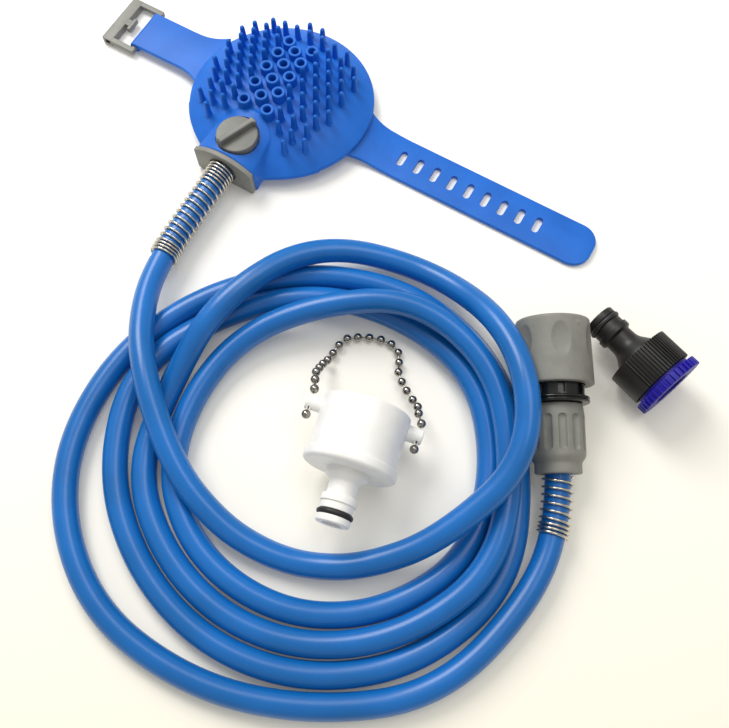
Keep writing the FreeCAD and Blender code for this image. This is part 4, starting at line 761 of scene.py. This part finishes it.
angles = np.linspace(0, 2 * np.pi, 360, endpoint=False)
down = np.maximum(-np.sin(angles), 1e-6)
across = np.maximum(np.abs(np.cos(angles)), 1e-6)
neckReach = np.where(np.sin(angles) < -0.5, np.minimum(pad["neckRun"] / down, pad["neckHalf"] / across), 0.0)
rim = rimRadius(angles)
outline = np.maximum(rim, np.where(neckReach > 20, smoothMax(rim, neckReach, pad["fillet"]), rim))
outline = np.where(np.sin(angles) < -0.5, np.minimum(outline, pad["neckRun"] / down), outline)
share = np.concatenate([[0.0], np.linspace(0.02, 0.975, 58)])
radial = share[:, None] * (outline - pad["rimRound"])[None, :] / 0.975
padX, padY = radial * np.cos(angles), radial * np.sin(angles) + pad["y"]
topRings = np.stack([padX, padY, coverHeight(padX, padY)], -1)
edgeHeight = topRings[-1, :, 2]
neckness = np.clip((neckReach - 42.0) / 7.0, 0, 1)
bottomHeight = (1 - neckness) * (edgeHeight - pad["wall"]) + neckness * pad["foot"]
roll = []
for a in np.linspace(0, np.pi / 2, 5)[1:]:
    r = outline - pad["rimRound"] * (1 - math.sin(a))
    roll.append(np.stack([r * np.cos(angles), r * np.sin(angles) + pad["y"],
                          edgeHeight - 0.3 * math.sin(a) - pad["rimRound"] * (1 - math.cos(a))], -1))
# underside: in along the rim, down the skirt round the chamber, and up inside it to a level ceiling
skirtTop = (1 - neckness) * (domeHeight(pad["seat"]) - pad["wall"]) + neckness * pad["foot"]
under = []
for r, z in ((outline, bottomHeight), (outline - 0.6, bottomHeight - 0.05), (pad["seat"], skirtTop),
             (pad["seat"], pad["low"]), (pad["chamber"], pad["low"]), (pad["chamber"], pad["ceiling"]),
             (0.01, pad["ceiling"])):
    under.append(np.stack([r * np.cos(angles), r * np.sin(angles) + pad["y"], z + 0 * angles], -1))
padMesh = ringMesh("siliconePad", [np.concatenate([topRings, roll, under])])
padPiece = linkPiece("siliconePad", padMesh, "silicone", "handset", 32)
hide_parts("silicone_cover")
pocket = turned(np.array([(pad["pocket"], 17.7), (pad["pocket"], 30.0)]), 96)
cutBy(padPiece, ringMesh("pocket", [pocket + np.array([0, pad["knobY"], 0])]))

nozzles = {"outer": 3.7, "bore": 2.0, "height": 5.2, "pitch": 11.3, "gap": 7.2, "middle": 8.5,
           "counts": [5, 4, 5]}
nozzleWall = rounded([(nozzles["bore"], -4.0, 0), (nozzles["bore"], nozzles["height"], 0.75),
                      (nozzles["outer"], nozzles["height"], 0.75), (3.75, 0.0, 0), (4.1, -1.0, 0)], 5)
nozzleBore = np.array([(nozzles["bore"] + 0.05, -3.9), (nozzles["bore"] + 0.05, 12.0)])
nozzlePlaces = []
for column, count in enumerate(nozzles["counts"]):
    for i in range(count):
        x = (column - 1) * nozzles["gap"]
        y = nozzles["middle"] + (i - (count - 1) / 2) * nozzles["pitch"]
        nozzlePlaces.append(np.array([x, y, float(coverHeight(x, y))]))
cutBy(padPiece, ringMesh("bores", [turned(nozzleBore, 32) + place for place in nozzlePlaces]))
nozzleMesh = ringMesh("sprayNozzles", [turned(nozzleWall, 32) + place for place in nozzlePlaces], closed=True)
linkPiece("sprayNozzles", nozzleMesh, "silicone", "handset", 40)

pins = {"length": 10.5, "foot": 1.75, "tip": 1.3, "lean": 0.05, "pitch": 7.9,
        "rows": [  # row's y, first pin's x, pins on each side
            (47.0, 4.0, 1), (40.4, 8.0, 3), (33.8, 15.9, 3), (27.2, 12.0, 4), (20.6, 15.9, 3), (14.0, 12.0, 4),
            (7.4, 15.9, 3), (0.8, 12.0, 4), (-5.8, 15.9, 3), (-12.4, 14.4, 3), (-19.0, 17.0, 3),
            (-25.6, 24.0, 1)],
        "middleRow": 40.4}
pinPlaces = []
for y, first, count in pins["rows"]:
    for i in range(count):
        pinPlaces += [(first + i * pins["pitch"], y), (-first - i * pins["pitch"], y)]
    if y == pins["middleRow"]:
        pinPlaces.append((0.0, y))
tipAngle = np.radians(np.linspace(0, 89.5, 5))
pinProfile = np.concatenate([
    [(2.5, -0.9), (2.05, -0.1), (pins["foot"], 0.7)],
    [(1.6, 4.0), (1.45, 7.5)],
    np.stack([pins["tip"] * np.cos(tipAngle), pins["length"] + (np.sin(tipAngle) - 1) * pins["tip"]], -1),
])
pinGrids = []
for x, y in pinPlaces:
    grid = turned(pinProfile, 12)
    lean = pins["lean"] / pad["dome"]
    grid[..., 0] += grid[..., 2] * x * lean
    grid[..., 1] += grid[..., 2] * (y - pad["y"]) * lean
    pinGrids.append(grid + np.array([x, y, float(coverHeight(x, y))]))
linkPiece("siliconePins", ringMesh("siliconePins", pinGrids), "silicone", "handset", 60)
print("pad,", len(pinPlaces), "pins,", len(nozzlePlaces), "nozzles")

# straps

strap = {"y": 9.0, "half": 12.5, "thick": 2.3, "rise": 5.6, "lift": 0.15, "round": 0.7, "flare": 6.0,
         "root": 45.3, "longTip": 190.0, "tipRadius": 10.0}


def strapSection(x, half, low, sign):
    # rounded rectangle across the strap at each x
    t, r = strap["thick"], strap["round"]
    ring = boxOutline(-1.0, 1.0, 0.0, t, r, 4)
    y = np.sign(ring[:, 0]) * (half[:, None] - (1 - np.abs(ring[:, 0]))[None, :])
    return np.stack([np.repeat(x[:, None] * sign, len(ring), 1), strap["y"] + y,
                     low[:, None] + ring[None, :, 1]], -1)


def strapGrid(flatX, x, half, sign, low):
    # underside low + R - sqrt(R^2 - (flat - x)^2), the arc that leaves the pad's rim at strap rise + lift
    run, rise = flatX - pad["radius"] + 4.0, strap["rise"] + strap["lift"] - low
    radius = (run ** 2 + rise ** 2) / (2 * rise)
    fall = low + radius - np.sqrt(radius ** 2 - np.clip(flatX - x, 0, None) ** 2)
    return strapSection(x, half, fall, sign)


def flareHalf(x):
    # half + flare * ((63.2 - x) / 19)^2.2, which widens the strap towards the pad
    return strap["half"] + strap["flare"] * np.clip((63.2 - x) / 19.0, 0, 1) ** 2.2


tipStart = strap["longTip"] - strap["tipRadius"]
tipX = tipStart + strap["tipRadius"] * np.sin(np.radians(np.linspace(0, 88, 14)))
longX = np.concatenate([np.linspace(strap["root"], 84, 40), np.linspace(88, 176, 12), tipX])
tipDrop = np.clip((longX - tipStart) / strap["tipRadius"], 0, 1)
longHalf = flareHalf(longX) - strap["tipRadius"] * (1 - np.sqrt(1 - tipDrop ** 2))
longMesh = ringMesh("longStrap", [strapGrid(78.0, longX, longHalf, 1, strap["lift"])])
longPiece = linkPiece("longStrap", longMesh, "silicone", "handset", 40)
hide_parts("long_strap")
slots = {"first": 76.5, "pitch": 10.2, "count": 9, "half": 1.9, "length": 9.6}
slotGrids = []
for i in range(slots["count"]):
    x = slots["first"] + i * slots["pitch"]
    ring = boxOutline(x - slots["half"], x + slots["half"], strap["y"] - slots["length"] / 2,
                      strap["y"] + slots["length"] / 2, slots["half"] - 0.01, 8)
    slotGrids.append(np.stack([np.column_stack([ring, np.full(len(ring), z)]) for z in (-3.0, 9.0)]))
cutBy(longPiece, ringMesh("slots", slotGrids))

loop = {"x": -92.0, "z": 3.25, "outer": 3.1, "bore": 1.7}


def loopGrid(profile):
    # surface about a line across the strap: (x + r cos t, y, z + r sin t)
    grid = turned(profile, 64)
    return np.stack([loop["x"] + grid[..., 0], strap["y"] + grid[..., 2], loop["z"] + grid[..., 1]], -1)


shortX = np.concatenate([np.linspace(strap["root"], 76, 34), np.linspace(78, -loop["x"], 8)])
shortGrid = strapGrid(74.0, shortX, flareHalf(shortX), -1, loop["z"] + loop["outer"] - strap["thick"])
shortMesh = ringMesh("shortStrap", [shortGrid])
shortPiece = linkPiece("shortStrap", shortMesh, "silicone", "handset", 40)
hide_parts("short_strap")
cutBy(shortPiece, ringMesh("loopBore", [loopGrid(np.array([(loop["bore"], -20.0), (loop["bore"], 20.0)]))]))
loopWall = rounded([(loop["bore"], -strap["half"], 0.3), (loop["outer"], -strap["half"], 0.7),
                    (loop["outer"], strap["half"], 0.7), (loop["bore"], strap["half"], 0.3)])
loopMesh = ringMesh("strapLoop", [loopGrid(loopWall)], closed=True)
linkPiece("strapLoop", loopMesh, "silicone", "handset", 40)
print("straps")

# buckle, knob and inlet plate

buckle = {"y": strap["y"], "z": loop["z"], "bar": loop["x"], "barRadius": 1.5, "end": -112.0, "inner": -105.5,
          "half": 13.2, "outer": 16.4, "table": 0.3, "prongHalf": 2.2, "prongTip": 4.3}
lowZ, highZ = buckle["z"] - buckle["barRadius"], buckle["z"] + buckle["barRadius"]


def buckleBar(x0, x1, y0, y1, corner, low, high, bevel):
    # flat bar between x0 and x1, its y measured from the strap's middle line
    return edged(boxOutline(x0, x1, buckle["y"] + y0, buckle["y"] + y1, corner), low, high, bevel)


frameGrids = [buckleBar(buckle["end"], buckle["inner"], -buckle["outer"], buckle["outer"], 0.9, buckle["table"],
                        highZ, 0.35)]
for side in (-1, 1):
    y0, y1 = sorted((side * buckle["half"], side * buckle["outer"]))
    frameGrids.append(buckleBar(-110.5, -90.6, y0, y1, 1.0, lowZ, highZ - 0.08, 0.35))
for x0, x1, half, corner in ((-106.5, -102.9, buckle["prongHalf"], 0.3),
                             (-103.3, -101.3, buckle["prongTip"], 0.7)):
    frameGrids.append(buckleBar(x0, x1, -half, half, corner, lowZ + 0.05, highZ - 0.05, 0.3))
barTurn = turned(np.array([(buckle["barRadius"], -14.0), (buckle["barRadius"], 14.0)]), 24)
frameGrids.append(np.stack([barTurn[..., 0] + buckle["bar"], barTurn[..., 2] + buckle["y"],
                            barTurn[..., 1] + buckle["z"]], -1))
buckleMesh = ringMesh("strapBuckle", frameGrids)
bucklePiece = linkPiece("strapBuckle", buckleMesh, "greyAbs", "strap_buckle", 40)
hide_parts("buckle")

knob = {"radius": 11.1, "low": 18.5, "top": 22.7, "barLow": 22.0, "barTop": 26.3, "narrow": 0.86,
        "angle": -22.0}
disc = turned(rounded([(0.01, knob["low"], 0), (knob["radius"], knob["low"], 0.3),
                       (knob["radius"], knob["top"], 0.7), (0.01, knob["top"], 0)]), 120)
# grip bar seen from above, with the pointer's wider end
barShape = np.array([(-1.8, -10.9), (1.8, -10.9), (1.75, 9.2), (3.3, 10.6), (2.6, 11.25), (0.5, 11.5),
                     (-1.9, 11.3), (-1.75, 9.2)])
barShape = dense(np.vstack([barShape, barShape[:1]]), 1.2)[:-1]
bar = edged(barShape, knob["barLow"], knob["barTop"], 0.7)
bar[..., 0] *= np.where(bar[..., 2] > 24.0, knob["narrow"], 1.0)
knobTurn = math.radians(knob["angle"])
spin = np.array([[math.cos(knobTurn), math.sin(knobTurn), 0], [-math.sin(knobTurn), math.cos(knobTurn), 0],
                 [0, 0, 1]])
knobGrids = [g @ spin + np.array([0, pad["knobY"], 0]) for g in (disc, bar)]
knobPiece = linkPiece("flowKnob", ringMesh("flowKnob", knobGrids), "knobAbs", "knob", 34)
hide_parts("flow_knob")


def dOutline(half, corner, top, foot):
    # level foot, upright sides and an arched top, as (x, z) points
    rise = top - corner
    radius = (half ** 2 + rise ** 2) / (2 * rise)
    reach = math.asin(half / radius)
    a = np.linspace(-reach, reach, 33)
    arch = np.stack([radius * np.sin(a), top - radius + radius * np.cos(a)], -1)
    base = boxOutline(-half, half, foot, corner + 2, 1.6, 5)
    base = base[base[:, 1] < corner]
    left, right = base[base[:, 0] < 0], base[base[:, 0] >= 0]
    return np.concatenate([arch, right[::-1][np.argsort(-right[::-1][:, 1])], left[np.argsort(left[:, 1])]])


plate = {"half": 17.6, "corner": 16.1, "top": 22.1, "foot": 0.3, "rear": -49.5, "front": -46.55, "bevel": 0.5,
         "seat": 8.0, "seatEnd": -48.35}
plateOutline = dOutline(plate["half"], plate["corner"], plate["top"], plate["foot"])[::-1]
plateGrid = edged(plateOutline, plate["rear"], plate["front"], plate["bevel"])
plateGrid = np.stack([plateGrid[..., 0], plateGrid[..., 2], plateGrid[..., 1]], -1)
plateMesh = ringMesh("inletPlate", [plateGrid])
platePiece = linkPiece("inletPlate", plateMesh, "greyAbs", "handset", 34)
seat = turned(np.array([(plate["seat"], -60.0), (plate["seat"], plate["seatEnd"])]), 64)
seat = np.stack([seat[..., 0], seat[..., 2], seat[..., 1] + hose["exit"][2]], -1)
cutBy(platePiece, ringMesh("seat", [seat]))
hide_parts("inlet_plate")
print("buckle, knob and plate")

# nodes that stay get the material of the real piece

kept = {
    "greyAbs": ["chamber_base"], "knobAbs": ["valve_body"],
    "naturalPom": ["chamber_top", "valve_spool", "inlet_barb", "hose_collet", "claw_1", "claw_2", "claw_3"],
    "rubber": ["chamber_gasket", "spool_seal", "socket_seal", "tap_washer", "faucet_grommet"],
    "springSteel": ["chamber_screws", "return_spring"], "darkPom": ["connector_body"],
}
for finish, names in kept.items():
    for name in names:
        slots = nodes[name].data.materials
        if len(slots) == 0:
            slots.append(finishes[finish])
        for place in range(len(slots)):
            slots[place] = finishes[finish]
